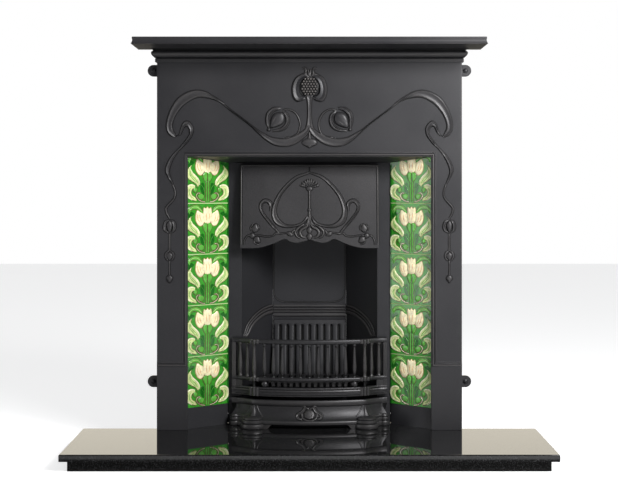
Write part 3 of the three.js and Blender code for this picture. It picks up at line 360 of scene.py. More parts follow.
FINISH = {
    **irons, "granite": granite, "bedding": plain["Sand and cement"], "glazed_tile": glaze,
    "sheet_steel": plain["Rolled black sheet steel"], "bolt_steel": plain["Blackened bolt steel"],
}
print("finishes", list(FINISH))

# %% [markdown]
# ## How a casting is put together
# A pattern maker builds a wooden pattern from boards, turned beads and carved strips, and the iron
# copies all of it as one piece. The class below works the same way: each strip or turned form is a
# closed shell made of rings of points, and all the shells of one casting end up in one mesh. Every
# point also carries a tint: on iron, how rubbed it is there and how much painted highlight or
# painted shade it has; on a tile, which glaze lies there.

# %% A casting made of closed shells


class Casting:
    """Closed shells, in mm, that together make one piece."""

    def __init__(self):
        self.points, self.faces, self.tints = [], [], []

    def mesh(self, points, faces, tint=0.0):
        """Adds a mesh. A tint is a number, a colour, or a list with one of them for each point."""
        first = len(self.points)
        self.points += [at(*p) for p in points]
        self.faces += [[first + i for i in face] for face in faces]
        each = isinstance(tint, list) and len(tint) == len(points)
        self.tints += [s if isinstance(s, tuple) else (s, s, s, 1.0)
                       for s in (tint if each else [tint] * len(points))]

    def rings(self, rings, tint=0.0, closed=False):
        """Joins rings of equally many points into a shell; an open row of rings is capped."""
        size, count = len(rings[0]), len(rings)
        faces = []
        for r in range(count if closed else count - 1):
            a, b = r * size, (r + 1) % count * size
            faces += [(a + c, a + (c + 1) % size, b + (c + 1) % size, b + c) for c in range(size)]
        if not closed:
            faces += [list(range(size))[::-1], [(count - 1) * size + c for c in range(size)]]
        if isinstance(tint, list) and len(tint) == size:
            tint = tint * count                       # one tint for each point of a ring
        self.mesh([p for ring in rings for p in ring], faces, tint)

    def box(self, x0, x1, y0, y1, z0, z1, edge=1.0, tint=0.0):
        """A block with slightly rounded edges."""
        self.mesh(*rounded(*blocks((x0, x1), (y0, y1), (z0, z1), lambda i, j, k: True), edge), tint)


# %% [markdown]
# ## Boards with eased edges
# The flat parts of a pattern are boards glued together, with their edges sanded so that the iron
# fills the mould. A grid of cells stands for the boards: some cells are filled, only their outer
# faces are kept, and a bevel eases each sharp edge. Separate boxes would leave seams inside.

# %% Blocks and rounded edges
def blocks(xs, ys, zs, filled):
    """The outer faces of the cells that filled(i, j, k) keeps, between the given planes."""
    cells = [(i, j, k) for i in range(len(xs) - 1) for j in range(len(ys) - 1)
             for k in range(len(zs) - 1) if filled(i, j, k)]
    index, faces = {}, []
    for cell in cells:
        for axis in range(3):
            a, b = [other for other in range(3) if other != axis]
            for step in (0, 1):
                beside = list(cell)
                beside[axis] += 1 if step else -1
                if tuple(beside) in cells:
                    continue
                face = []
                for along_a, along_b in ((0, 0), (1, 0), (1, 1), (0, 1)):
                    spot = list(cell)
                    spot[axis] += step
                    spot[a] += along_a
                    spot[b] += along_b
                    face.append(index.setdefault(tuple(spot), len(index)))
                faces.append(face)
    return [(xs[i], ys[j], zs[k]) for i, j, k in index], faces


def shaped(bm, width, segments=2, least=30):
    """Makes the faces of a bmesh point outwards and rounds its sharp edges."""
    bmesh.ops.recalc_face_normals(bm, faces=bm.faces)
    sharp = [e for e in bm.edges if e.is_manifold and e.calc_face_angle(0) > math.radians(least)]
    if width > 0 and sharp:
        bmesh.ops.bevel(bm, geom=sharp, offset=width, segments=segments, affect="EDGES",
                        profile=0.5, clamp_overlap=True)


def join_flat(bm):
    """Turns neighbouring faces that lie in one plane into one face."""
    bmesh.ops.dissolve_limit(bm, angle_limit=math.radians(1), verts=bm.verts, edges=bm.edges)


def rounded(points, faces, width):
    """The same closed mesh with its sharp edges rounded off, as points and faces."""
    bm = bmesh.new()
    corners = [bm.verts.new(p) for p in points]
    for face in faces:
        bm.faces.new([corners[i] for i in face])
    join_flat(bm)
    shaped(bm, width)
    bm.verts.index_update()
    result = [tuple(v.co) for v in bm.verts], [[v.index for v in f.verts] for f in bm.faces]
    bm.free()
    return result


print("a box of blocks has", len(blocks((0, 1), (0, 1), (0, 1), lambda i, j, k: True)[1]), "faces")

# %% [markdown]
# ## A smooth curve through a few marks
# A carver sets out a few marks and bends a thin batten through them. A Catmull-Rom curve does the
# same: it goes through every mark. It is then walked in even steps, because rings of points that
# are evenly spread make an even skin. A Bezier curve would need handles that nobody can measure.

# %% Smooth curve
FINE_STEPS = 10           # short chords between two marks


def smooth(points, count, closed=False):
    """That many points, evenly spaced, on a smooth curve through the given points."""
    marks = [Vector(p) for p in points]
    n, fine = len(marks), []
    for i in range(n if closed else n - 1):
        b, c = marks[i], marks[(i + 1) % n]
        a = marks[i - 1] if closed or i else 2 * b - c
        d = marks[(i + 2) % n] if closed or i + 2 < n else 2 * c - b
        for step in range(FINE_STEPS):
            t = step / FINE_STEPS
            fine.append((2 * b + (c - a) * t + (2 * a - 5 * b + 4 * c - d) * t * t
                         + (3 * b - a - 3 * c + d) * t ** 3) / 2)
    fine.append(marks[0] if closed else marks[-1])
    along = [0.0]
    for p, q in zip(fine, fine[1:]):
        along.append(along[-1] + (q - p).length)
    result, j = [], 0
    for k in range(count):
        want = along[-1] * k / (count if closed else count - 1)
        while j + 2 < len(fine) and along[j + 1] < want:
            j += 1
        span = along[j + 1] - along[j]
        result.append(fine[j].lerp(fine[j + 1], (want - along[j]) / span if span else 0.0))
    return result


# %% [markdown]
# ## Carved forms
# Relief of this kind is made of three forms: a band between two edges, a round line, and a low
# dome. Each could be sculpted, but a few marks and a section give a cleaner edge at this size. Each
# is a closed shell that reaches a little into the face it lies on. On iron the tint of its foot
# paints a dark line of shade round the form, with the blacking that gathers there; on a tile it
# draws the raised line that keeps two glazes apart.

# %% Ribbons, lines and domes
SUNK = 0.6                # mm that relief reaches into the face it lies on
HOLLOW_LINE = 2.0         # mm of line round each form: painted shade with blacking on iron, the raised line between glazes on a tile
LINE_UP, FOOT_UP = 0.15, 0.2    # mm that the dark line and the foot of the form stand up
# painted shade round the foot of relief on iron, with the blacking that gathers there
SHADE_AND_BLACKING_TINT = -1.0
FENCE = colour("#5C4632")       # the raised line that keeps two glazes apart
ACROSS = (0, 0.07, 0.16, 0.27, 0.5, 0.73, 0.84, 0.93, 1)        # shares of a ribbon's width
RIMMED = (0.3, 0.8, 1, 0.8, 0.5, 0.8, 1, 0.8, 0.3)              # heights of a dished section
ROUND = tuple(0.25 + 0.75 * math.sin(math.pi * share) ** 0.7 for share in ACROSS)
DOME = ((1, 0), (1, 0.2), (0.95, 0.5), (0.84, 0.78), (0.6, 0.95), (0.3, 1), (0, 1.02))


def foot_tint(tint, line):
    """The tint of a form's foot: painted shade with blacking on iron, and the raised line between
    glazes.
    """
    return line if line is not None else FENCE if isinstance(tint, tuple) else SHADE_AND_BLACKING_TINT


def square_to(path, i):
    """The direction square to a path at one of its points."""
    ahead = (path[min(i + 1, len(path) - 1)] - path[max(i - 1, 0)]).normalized()
    return Vector((-ahead.y, ahead.x))


def ribbon(casting, edge_a, edge_b, rise, place, steps=40, plain=False, tint=None, line=None,
           lift=0.0):
    """A carved band between two edges: raised at both rims when wide, a round bead when narrow.

    The lift puts it on top of a dome: it is full in the middle and runs down to the ends."""
    line = foot_tint(tint, line)
    rings, edge_a, edge_b = [], smooth(edge_a, steps), smooth(edge_b, steps)
    middle = [(a + b) / 2 for a, b in zip(edge_a, edge_b)]
    for i, (a, b) in enumerate(zip(edge_a, edge_b)):
        width = (b - a).length
        side = square_to(middle, i) * HOLLOW_LINE
        if side.dot(a - b) < 0:
            side = -side
        wide = 0 if plain else min(1, max(0, (width - 4) / 6))
        ends = min(1, 0.25 + 0.35 * min(i, steps - 1 - i))
        height = min(rise, 0.45 * width + 0.5) * ends
        base = lift * math.sin(math.pi * (i + 0.5) / steps) ** 0.4
        skirt, foot = base + LINE_UP, base + FOOT_UP
        ring = [place(*(a + side), -SUNK), place(*(a + side), skirt), place(*a, foot)]
        for share, rim, crown in zip(ACROSS, RIMMED, ROUND):
            ring.append(place(*a.lerp(b, share), foot + height * (rim * wide + crown * (1 - wide))))
        ring += [place(*b, foot), place(*(b - side), skirt), place(*(b - side), -SUNK)]
        rings.append(ring)
    # by default the rims are rubbed brighter, as wear and as a painted highlight
    if tint is None:
        tint = [0.15 + 0.35 * (rim if not plain else 1) ** 2 for rim in RIMMED]
    elif not isinstance(tint, list):
        tint = [tint] * len(ACROSS)
    casting.rings(rings, [line] * 3 + tint + [line] * 3)


def stroke(casting, points, widths, rise, place, steps=28, tint=None, line=None, lift=0.0):
    """A round raised line; the widths are spread evenly along it."""
    path = smooth(points, steps)
    edge_a, edge_b = [], []
    for i, p in enumerate(path):
        share = i / (steps - 1) * (len(widths) - 1)
        low = min(int(share), len(widths) - 2)
        half = (widths[low] + (widths[low + 1] - widths[low]) * (share - low)) / 2
        side = square_to(path, i) * half
        edge_a.append(p + side)
        edge_b.append(p - side)
    ribbon(casting, edge_a, edge_b, rise, place, steps, True, tint, line, lift)


def pillow(casting, outline, rise, place, steps=28, tint=0.35, line=None):
    """A domed form inside a smooth closed outline."""
    ring = smooth(outline, steps, closed=True)
    centre = sum(ring, Vector((0, 0))) / steps
    rings = [[place(*(p + (p - centre).normalized() * HOLLOW_LINE), up) for p in ring]
             for up in (-SUNK, LINE_UP)]
    for share, up in DOME:
        rings.append([place(*centre.lerp(p, share), FOOT_UP + up * rise) for p in ring])
    casting.rings(rings, [foot_tint(tint, line)] * (3 * steps) + [tint] * (6 * steps))


print("a ribbon's section has", len(ACROSS) + 6, "points, a dome", len(DOME) + 2, "rings")

# %% [markdown]
# ## Turned forms and mouldings
# Knobs, feet and balusters are turned on a lathe, and mouldings are planed to one section. So one
# function spins a profile round an upright axis, and the other carries a section along straight
# runs with a mitre at each corner.

# %% Lathe and moulding plane
def circle(count):
    """The directions of points evenly round a circle, as cosine and sine."""
    angles = [2 * math.pi * k / count for k in range(count)]
    return [(math.cos(a), math.sin(a)) for a in angles]


def turned(casting, x, y, profile, sides=20, tint=0.4, squash=(1, 1)):
    """A form turned on an upright axis: its profile is a list of radius and height."""
    casting.rings([[(x + r * squash[0] * c, y + r * squash[1] * s, z) for c, s in circle(sides)]
                   for r, z in profile], tint)


def moulding(casting, stations, profile, place, tint=0.2):
    """A strip of one section along straight runs: each station is a point and its mitre."""
    casting.rings([[place(Vector(p) + Vector(mitre) * out, up) for out, up in profile]
                   for p, mitre in stations], tint)


# %% [markdown]
# ## Light on flat faces
# Smooth shading alone bends the light across a flat face, because the narrow faces of its rounded
# edge pull on its corners. A Weighted Normal modifier cures that, but would have to be applied on
# every piece. Here each corner's normal is worked out once: the faces round a point count by their
# area, and only those within a limit of this face's own direction count at all.

# %% Shading by area
SHARPEST = 38             # degrees between faces that still share their light


def values_of(owner, name, width, kind):
    """One property of all items of a mesh, as an array."""
    found = np.empty(len(owner) * width, dtype=kind)
    owner.foreach_get(name, found)
    return found


def shade(mesh):
    """Shades across shallow edges only, each face counted by its area."""
    mesh.shade_smooth()
    corner = values_of(mesh.loops, "vertex_index", 1, np.int32)
    sizes = values_of(mesh.polygons, "loop_total", 1, np.int32)
    area = values_of(mesh.polygons, "area", 1, np.float32)
    normal = values_of(mesh.polygons, "normal", 3, np.float32)
    face = np.repeat(np.arange(len(sizes)), sizes)
    order = np.argsort(corner, kind="stable")
    corner, facing = corner[order], normal.reshape(-1, 3)[face][order]
    weight = facing * (area[face][order][:, None] + 1e-12)
    total, step = weight.copy(), 1
    while (corner[step:] == corner[:-step]).any():
        alike = (facing[step:] * facing[:-step]).sum(axis=1) > math.cos(math.radians(SHARPEST))
        near = (corner[step:] == corner[:-step]) & alike
        total[step:][near] += weight[:-step][near]
        total[:-step][near] += weight[step:][near]
        step += 1
    result = np.empty_like(total)
    result[order] = total / np.maximum(np.linalg.norm(total, axis=1, keepdims=True), 1e-20)
    mesh.normals_split_custom_set(result)


# %% [markdown]
# ## From shells to an object
# A finished casting is one mesh with its place in its points, so its object stays at the origin.
# Points that fall together are merged, the faces are turned outwards, the object is tied to the
# body that it moves with, and the parts of the imported model that it stands for are hidden.

# %% Objects on their bodies
WELD, SLIVER = 0.002, 0.001     # mm


def as_mesh(name, casting):
    """A casting's points, faces and tints as a mesh."""
    mesh = bpy.data.meshes.new(name)
    mesh.from_pydata(casting.points, [], casting.faces)
    layer = mesh.attributes.new("tint", "FLOAT_COLOR", "POINT")
    layer.data.foreach_set("color", [c for tint in casting.tints for c in tint])
    return mesh


def welded(mesh, distance=WELD):
    """A mesh as a bmesh, with points closer than that many mm made one."""
    bm = bmesh.new()
    bm.from_mesh(mesh)
    bmesh.ops.remove_doubles(bm, verts=bm.verts, dist=distance * MM)
    return bm


def linked(name, mesh):
    """A new object in the scene."""
    made = bpy.data.objects.new(name, mesh)
    scene.collection.objects.link(made)
    return made


def settle(made, bm, body, nodes=()):
    """Writes a bmesh back, smooths it where it is round, ties the object to its body and hides its
    nodes.
    """
    bm.to_mesh(made.data)
    bm.free()
    shade(made.data)
    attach(made, body)
    if nodes:
        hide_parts(*nodes)
    print(f"{made.name}: {len(made.data.polygons)} faces")


def put(name, casting, body, slot, nodes=(), material=None):
    """Turns a casting into an object that rides on its body and stands for its nodes."""
    made = linked(name, as_mesh(name, casting))
    bm = welded(made.data)
    bmesh.ops.dissolve_degenerate(bm, edges=bm.edges, dist=SLIVER * MM)
    bmesh.ops.recalc_face_normals(bm, faces=bm.faces)
    made.data.materials.append(material or FINISH[slot])
    settle(made, bm, body, nodes)


# %% [markdown]
# ## Forms that repeat, grown by nodes
# Seeds, balusters and ribs are one form set many times, so Geometry Nodes place them. A tree gets
# its named inputs here, and another function runs it once and keeps the result as a plain mesh,
# which any other program can read.

# %% Node trees for what repeats
def new_tree(name, result, inputs):
    """An empty node tree with named inputs and one result, and the sockets of its inputs."""
    made = bpy.data.node_groups.new(name, "GeometryNodeTree")
    for title, kind in inputs:
        made.interface.new_socket(name=title, in_out="INPUT", socket_type=f"NodeSocket{kind}")
    made.interface.new_socket(name=result, in_out="OUTPUT", socket_type="NodeSocketGeometry")
    return made, add(made, "NodeGroupInput").outputs


def form_of(name, casting):
    """A casting as an object outside the scene, for a node tree to copy."""
    return bpy.data.objects.new(name, as_mesh(name, casting))


def grow(name, tree, body, slot, **values):
    """Runs a node tree with its inputs set by name, and keeps the result as a plain mesh."""
    made = linked(name, bpy.data.meshes.new(name))
    modifier = made.modifiers.new(tree.name, "NODES")
    modifier.node_group = tree
    values["finish"] = FINISH[slot]
    for item in tree.interface.items_tree:
        if item.in_out == "INPUT":
            modifier[item.identifier] = values[item.name.replace(" ", "_").lower()]
    graph = bpy.context.evaluated_depsgraph_get()
    made_once = bpy.data.meshes.new_from_object(made.evaluated_get(graph), depsgraph=graph)
    made.modifiers.clear()
    made.data = made_once
    bm = welded(made.data)
    bmesh.ops.recalc_face_normals(bm, faces=bm.faces)
    settle(made, bm, body)


# %% [markdown]
# ## Parts that keep their shape
# Flat plates, bolts, the ash pan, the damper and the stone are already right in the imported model.
# Real edges are never knife sharp: cast iron is ground with a hand wheel and stone is arrised, so a
# copy of each gets a small round on its edges. The bolts and the hidden cement keep their own mesh.

# %% Plates, stone, pan and damper
def finished_copy(node, edge):
    """A node whose shape is right, with its edges rounded as a fettled casting's are."""
    made = linked(f"{node}_fettled", frame["nodes"][node].data.copy())
    made.data.materials.clear()
    bm = welded(made.data, 0.02)
    join_flat(bm)
    shaped(bm, edge * MM)
    made.data.materials.append(FINISH[SLOT[node]])
    settle(made, bm, BODY[node], [node])


EASED = {                 # mm that each part's edges are rounded
    "hearth_slab": 1.5, "hearth_riser_front": 1.0, "hearth_riser_left": 1.0,
    "hearth_riser_right": 1.0, "back_hearth": 0.8, "soffit_panel": 0.8, "tile_cheek_left": 0.8,
    "tile_cheek_right": 0.8, "inner_plate": 1.0, "fire_cheek_left": 0.8, "fire_cheek_right": 0.8,
    "smoke_gather": 0.8, "damper_frame": 0.6, "damper_flap": 0.5, "damper_pull": 0.4,
    "ash_pan": 0.4, "ash_pan_handle": 0.5}
for node, edge in EASED.items():
    finished_copy(node, edge)
for node, held in frame["nodes"].items():
    if SLOT[node] in ("bolt_steel", "bedding") and node not in EASED:
        held.data.materials.clear()
        held.data.materials.append(FINISH[SLOT[node]])

# %% [markdown]
# ## Surround
# The surround is a single casting: a flat plate 8 mm thick with a frieze above and two jambs,
# thicker foot blocks, side walls that stand it off the wall, a moulded bead round the opening and a
# cornice under the shelf. The plate comes from a few blocks, and each moulding is one section swept
# along its path with mitred corners, which is how a joiner makes the pattern for it.

# %% Surround body, bead and cornice
OUTER, OPENING = 457.0, 364.6             # half widths of the plate and of its opening
FOOT_TOP, OPENING_TOP, HEAD = 191.0, 819.0, 1155.0
PLATE = 8                                 # thickness of the casting's walls
FACE, PROUD = -25.0, -28.0                # face of the plate and of the foot blocks

surround = Casting()
surround.mesh(*rounded(*blocks(
    (-OUTER, -OUTER + PLATE, -OPENING, OPENING, OUTER - PLATE, OUTER),
    (PROUD, FACE, FACE + PLATE, 0), (0, FOOT_TOP, OPENING_TOP, HEAD - PLATE, HEAD),
    lambda i, j, k: (
        j == 0 and k == 0 and i != 2
        or j == 1 and (i != 2 or k >= 2)
        or j == 2 and (i in (0, 4) or k == 3)
    )), 1.2), 0.1)

BEAD_IN, BEAD_TOP = OPENING + 3, OPENING_TOP + 3
BEAD_PATH = [((OUTER, FOOT_TOP), (0, 1)), ((BEAD_IN, FOOT_TOP), (1, 1)),
             ((BEAD_IN, BEAD_TOP), (1, 1)), ((-BEAD_IN, BEAD_TOP), (-1, 1)),
             ((-BEAD_IN, FOOT_TOP), (-1, 1)), ((-OUTER, FOOT_TOP), (0, 1))]
BEAD = [(0, -SUNK), (0, 0.8), (0.5, 2.6), (1.2, 3.7), (2.6, 4.3), (4.2, 3.9), (5.4, 2.6),
        (6.1, 0.7), (6.6, 0.3), (7.2, 0.6), (7.6, 1.7), (8.1, 2), (8.6, 1.7), (9, 0.5), (9.6, 0.2),
        (10.2, 1.1), (14.0, 1.2), (14.4, 0.9), (14.5, -SUNK)]
BEAD_TINT = [0.1, 0.2, 0.5, 0.7, 0.8, 0.7, 0.4, 0.1] + [0.2] * 11
moulding(surround, BEAD_PATH, BEAD, lambda p, up: (p.x, FACE - up, p.y), BEAD_TINT)

CORNICE_PATH = [((-OUTER, 0), (-1, 0)), ((-OUTER, FACE), (-1, -1)), ((OUTER, FACE), (1, -1)),
                ((OUTER, 0), (1, 0))]
CORNICE = [(-2, 0), (4.4, 0), (5, 0.8), (5, 9.5), (2, 12), (3, 12.6), (5.2, 13), (8.2, 14.5),
           (11, 16.7), (13.5, 19.6), (15.2, 22.5), (16, 25), (15.8, 28), (14.2, 31), (11.8, 33),
           (10, 34), (10, 38), (15.2, 38), (16, 38.8), (16, 53), (-2, 53)]
# painted shade in the cornice's hollows, rubbed and highlit on its rounds
CORNICE_TINT = [0, 0, 0.3, 0.2, -0.9, -0.9, -0.5, -0.1, 0.3, 0.5, 0.5, 0.4, 0.2, -0.2, -0.7,
                -1, -1, -0.8, -0.4, -0.4, 0]
CORNICE_FOOT = 1102.0
moulding(surround, CORNICE_PATH, CORNICE, lambda p, up: (p.x, p.y, CORNICE_FOOT + up), CORNICE_TINT)
print("surround has", len(surround.faces), "faces so far")

# %% [markdown]
# ## Wall lugs
# Four ears at the sides take the screws that hold the surround to the wall. Each is a rounded
# tongue with a hole, and a black round-headed screw in it. A ring of points round the tongue and a
# ring round the hole, at the front and at the back, make it a closed form with a true hole.

# %% Lugs
LUG_HEIGHTS, LUG_TIP, LUG_HALF, LUG_THICK, LUG_HOLE = (1078, 143), 487, 17.5, 8, 4.5
LUG_CENTRE = LUG_TIP - LUG_HALF
EASE = 1.0                # mm that the tongue's edge is eased, and 0.08 of the way to the hole
SCREW = ((4, -0.5), (4, -8), (7.5, -8), (7.3, -9.2), (5.5, -10.8), (2.5, -11.6), (0, -11.8))
for side in (-1, 1):
    for level in LUG_HEIGHTS:
        angles = [math.pi * (k - 12) / 24 for k in range(25)]
        tongue = [(LUG_CENTRE + LUG_HALF * math.cos(a), level + LUG_HALF * math.sin(a))
                  for a in angles]
        tongue += [(OUTER - 4, level + LUG_HALF * (1 - k / 4)) for k in range(9)]
        ways = [math.atan2(z - level, x - LUG_CENTRE) for x, z in tongue]
        hole = [(LUG_CENTRE + LUG_HOLE * math.cos(a), level + LUG_HOLE * math.sin(a)) for a in ways]
        middle = [(x0 + (x1 - x0) * 0.08, z0 + (z1 - z0) * 0.08)
                  for (x0, z0), (x1, z1) in zip(tongue, hole)]
        surround.rings([[(side * x, y, z) for x, z in outline] for outline, y in (
            (tongue, -EASE), (middle, 0.0), (hole, 0.0), (hole, -LUG_THICK), (middle, -LUG_THICK),
            (tongue, -LUG_THICK + EASE))], 0.1, closed=True)
        surround.rings([[(side * LUG_CENTRE + r * c, y, level + r * sine) for c, sine in circle(24)]
                        for r, y in SCREW], -0.3)
print(2 * len(LUG_HEIGHTS), "lugs")

# %% [markdown]
# ## Relief of the frieze and jambs
# The whiplash stems are carved ribbons, wide and dished with a raised rim on both edges and closing
# to a round bead where they run thin. They are drawn once, on the left, as edge curves in
# millimetres from the centre line, and cast on both sides. Buds, seeds and beads are low domes.

# %% Frieze
RELIEF = 4.5              # mm that the widest stems stand up
FRUIT_TINT = [0.3, 0.6, 0.5, 0.3, 0.1, 0, -0.2, -0.6, -1.0]      # rubbed and highlit on the outer rim, painted shade towards the seeds


def on_face(side):
    """Places relief on the flat face of the surround, on one side of the centre."""
    return lambda u, z, out: (side * u, FACE - out, z)


def drop(centre, tip, half_width):
    """The outline of a pointed bud, from its middle towards its tip."""
    c, ahead = Vector(centre), Vector(tip) - Vector(centre)
    side = Vector((-ahead.y, ahead.x)).normalized() * half_width
    return [c - ahead * 0.85, c - ahead * 0.45 + side * 0.85, c + side, c + ahead * 0.55
            + side * 0.62, c + ahead, c + ahead * 0.55 - side * 0.62, c - side,
            c - ahead * 0.45 - side * 0.85]


for side in (-1, 1):
    face = on_face(side)
    ribbon(surround, [(255, 978), (286, 999), (313, 1014), (341, 1018), (368, 1011), (396, 992),
                      (416, 961), (427, 927), (428, 903), (420, 885), (404, 877)],
           [(255, 975), (286, 990), (323, 997), (348, 992), (375, 975), (396, 951), (408, 927),
            (411, 906), (402, 884)], RELIEF, face, 56)
    ribbon(surround, [(404, 877), (390, 887), (384, 906), (378, 920), (367, 926), (356, 919),
                      (348, 903), (352, 882), (367, 861), (388, 840)],
           [(401, 881), (388, 884), (380, 897), (375, 907), (367, 910), (361, 904), (358, 894),
            (361, 882), (374, 864), (391, 842)], RELIEF, face, 48)
    ribbon(surround, [(3, 940), (4, 918), (12, 903), (31, 889), (55, 878), (83, 873), (114, 877),
                      (134, 887), (157, 900), (186, 923), (237, 961), (272, 989)],
           [(-4, 940), (-3, 906), (6, 887), (21, 872), (41, 858), (65, 850), (90, 850), (110, 856),
            (134, 872), (157, 894), (185, 919), (236, 957), (271, 984)], RELIEF, face, 64)
    stroke(surround, [(57, 875), (35, 889), (28, 920), (41, 949), (65, 961), (81, 956)], (3, 4, 3),
           3, face)
    stroke(surround, [(78, 876), (69, 866), (60, 868), (62, 877), (70, 876)], (2.5, 3.5, 3), 3,
           face, 20)
    ribbon(surround, [(85, 966), (100, 967), (112, 964), (125, 953), (130, 938), (129, 918),
                      (121, 899)], [(87, 961), (98, 958), (108, 952), (116, 942), (119, 932),
                                    (119, 916), (120, 901)], 6, face, 34)
    ribbon(surround, [(81, 957), (66, 949), (60, 935), (61, 919), (70, 904), (86, 896), (112, 894)],
           [(80, 952), (73, 942), (70, 933), (71, 922), (79, 910), (92, 902), (112, 898)], 6, face,
           34)
    pillow(surround, drop((96, 929), (116, 906), 18.5), 9, face, 32, 0.2)
    for bend in (-9, 0, 9):
        stroke(surround, [(83 + abs(bend) / 4, 944 - abs(bend) / 4),
                          (96 + bend * 0.72, 929 + bend * 0.7), (114, 908)],
               (2.2, 5.0, 2.0), 1.6, face, 18, line=-0.3, lift=7.6)
    pillow(surround, [(121, 905), (126, 901), (123, 896), (117, 899)], 6, face, 12)
    ribbon(surround, [(3, 1064), (28, 1063), (44, 1051), (52, 1026), (49, 999), (36, 984),
                      (14, 991)], [(1, 1060), (14, 1054), (26, 1040), (30, 1025), (28, 1010),
                                   (19, 1002), (8, 1001)], 7, face, 36, tint=FRUIT_TINT)
    for strand in ([(3, 1054), (12, 1067), (10, 1077), (14, 1085), (22, 1083)],
                   [(0, 1058), (3, 1074), (6, 1082)], [(8, 1060), (18, 1065), (28, 1062)]):
        stroke(surround, strand, (8, 7, 4.5, 2.5), 6.5, face, 16)

face = on_face(1)
ribbon(surround, [(-12, 1004), (-8, 992), (-6, 975), (-5.5, 950), (-7, 925), (-12, 903)],
       [(12, 1004), (8, 992), (6, 975), (5.5, 950), (7, 925), (12, 903)], 4.4, face, 30)
stroke(surround, [(0, 893), (0, 868)], (4, 7, 12), 3.5, face, 10)
pillow(surround, [(0, 873), (10, 872), (19, 868), (22.5, 861), (18, 854), (8, 850), (0, 845),
                  (-8, 850), (-18, 854), (-22.5, 861), (-19, 868), (-10, 872)], 6, face, 36)
SEED_X, SEED_Z, SEED_WIDE, SEED_TALL = 0, 1029, 27.5, 29.0    # the seeded heart of the fruit
# the ground under the seeds is tinted dark, as painted shade between them
pillow(surround, [(SEED_X + SEED_WIDE * c, SEED_Z + SEED_TALL * sine) for c, sine in circle(12)],
       2.0, face, 36, -0.9)
print("surround has", len(surround.faces), "faces with its frieze")

# %% [markdown]
# ## Seeds of the fruit
# The heart of the fruit is packed with round seeds in a staggered grid. A node tree makes the grid,
# shifts every second row by half a pitch, drops what lies outside an ellipse, and sets a bead on
# each point that is left.

# %% Seeds
seeds, given = new_tree("Seeds in an ellipse", "Seeds", (
    ("Pitch", "Float"), ("Half width", "Float"), ("Half height", "Float"), ("Form", "Object"),
    ("Centre", "Vector"), ("Finish", "Material")))
SIDE_COUNT = 13           # points along a side of the grid, more than the ellipse needs
INSIDE = 0.86             # keeps whole seeds inside the rim of the ellipse
rows_apart = add(seeds, "ShaderNodeMath", {0: given["Pitch"], 1: math.sqrt(3) / 2},
                 operation="MULTIPLY")
size_x, size_y = [add(seeds, "ShaderNodeMath", {0: apart, 1: SIDE_COUNT - 1.0},
                      operation="MULTIPLY") for apart in (given["Pitch"], rows_apart)]
grid = add(seeds, "GeometryNodeMeshGrid", {
    "Size X": size_x, "Size Y": size_y, "Vertices X": SIDE_COUNT, "Vertices Y": SIDE_COUNT})
spot = add(seeds, "ShaderNodeSeparateXYZ", {0: add(seeds, "GeometryNodeInputPosition")})
line = add(seeds, "ShaderNodeMath", {0: spot.outputs[1], 1: rows_apart}, operation="DIVIDE")
line = add(seeds, "ShaderNodeMath", {0: line}, operation="ROUND")
odd = add(seeds, "ShaderNodeMath", {0: line, 1: 2.0}, operation="FLOORED_MODULO")
half = add(seeds, "ShaderNodeMath", {0: given["Pitch"], 1: 0.5}, operation="MULTIPLY")
shift = add(seeds, "ShaderNodeMath", {0: odd, 1: half}, operation="MULTIPLY")
staggered = add(seeds, "GeometryNodeSetPosition", {
    "Geometry": grid.outputs["Mesh"], "Offset": add(seeds, "ShaderNodeCombineXYZ", {0: shift})})
spot = add(seeds, "ShaderNodeSeparateXYZ", {0: add(seeds, "GeometryNodeInputPosition")})
part_x, part_y = [add(seeds, "ShaderNodeMath", {0: spot.outputs[axis], 1: given[half_size]},
                      operation="DIVIDE")
                  for axis, half_size in (("X", "Half width"), ("Y", "Half height"))]
square_x = add(seeds, "ShaderNodeMath", {0: part_x, 1: part_x}, operation="MULTIPLY")
far = add(seeds, "ShaderNodeMath", {0: part_y, 1: part_y, 2: square_x}, operation="MULTIPLY_ADD")
outside = add(seeds, "FunctionNodeCompare", {0: far, 1: INSIDE}, data_type="FLOAT",
              operation="GREATER_THAN")
kept = add(seeds, "GeometryNodeDeleteGeometry", {"Geometry": staggered, "Selection": outside})
form = add(seeds, "GeometryNodeObjectInfo", {"Object": given["Form"]})
placed = add(seeds, "GeometryNodeInstanceOnPoints",
             {"Points": kept, "Instance": form.outputs["Geometry"]})
real = add(seeds, "GeometryNodeRealizeInstances", {0: placed})
upright = add(seeds, "GeometryNodeTransform", {
    "Geometry": real, "Translation": given["Centre"], "Rotation": (math.radians(90), 0, 0)})
painted = add(seeds, "GeometryNodeSetMaterial", {"Geometry": upright, "Material": given["Finish"]})
add(seeds, "NodeGroupOutput", {"Seeds": painted})
print("seeds tree has", len(seeds.nodes), "nodes")

# %% One seed, and the seeded heart
SEED_PITCH, SEED_RADIUS, SEED_SIDES = 8.6, 3.7, 12
SEED_OUT = 2.6            # mm that the seeds' middles stand in front of the face
SEED_FORM = ((0.6, -0.8), (1, 0), (0.92, 0.45), (0.7, 0.8), (0.38, 1.05), (0, 1.12))
SEED_TINTS = (-1.0, -1.0, 0.4, 1.6, 2.2, 2.2)       # painted shade between the seeds, rubbing and a painted highlight on top
bead = Casting()
bead.rings([[(r * SEED_RADIUS * c, r * SEED_RADIUS * sine, up * SEED_RADIUS)
             for c, sine in circle(SEED_SIDES)] for r, up in SEED_FORM],
           [tint for tint in SEED_TINTS for _ in range(SEED_SIDES)])
seed = form_of("seed", bead)
seed.data.transform(Matrix.Translation(-at(0, 0, 0)))
grow("fruit_seeds", seeds, "fireplace", "blacked_iron", pitch=SEED_PITCH * MM,
     half_width=SEED_WIDE * MM,
     half_height=SEED_TALL * MM, form=seed, centre=at(SEED_X, FACE - SEED_OUT, SEED_Z))

# %% [markdown]
# ## Relief of the jambs
# Below the frieze each stem runs down the jamb, ends in a bud, and hangs two smaller drops under it
# on thin strands. They are the same three carved forms, and the last of what is cast on the
# surround.

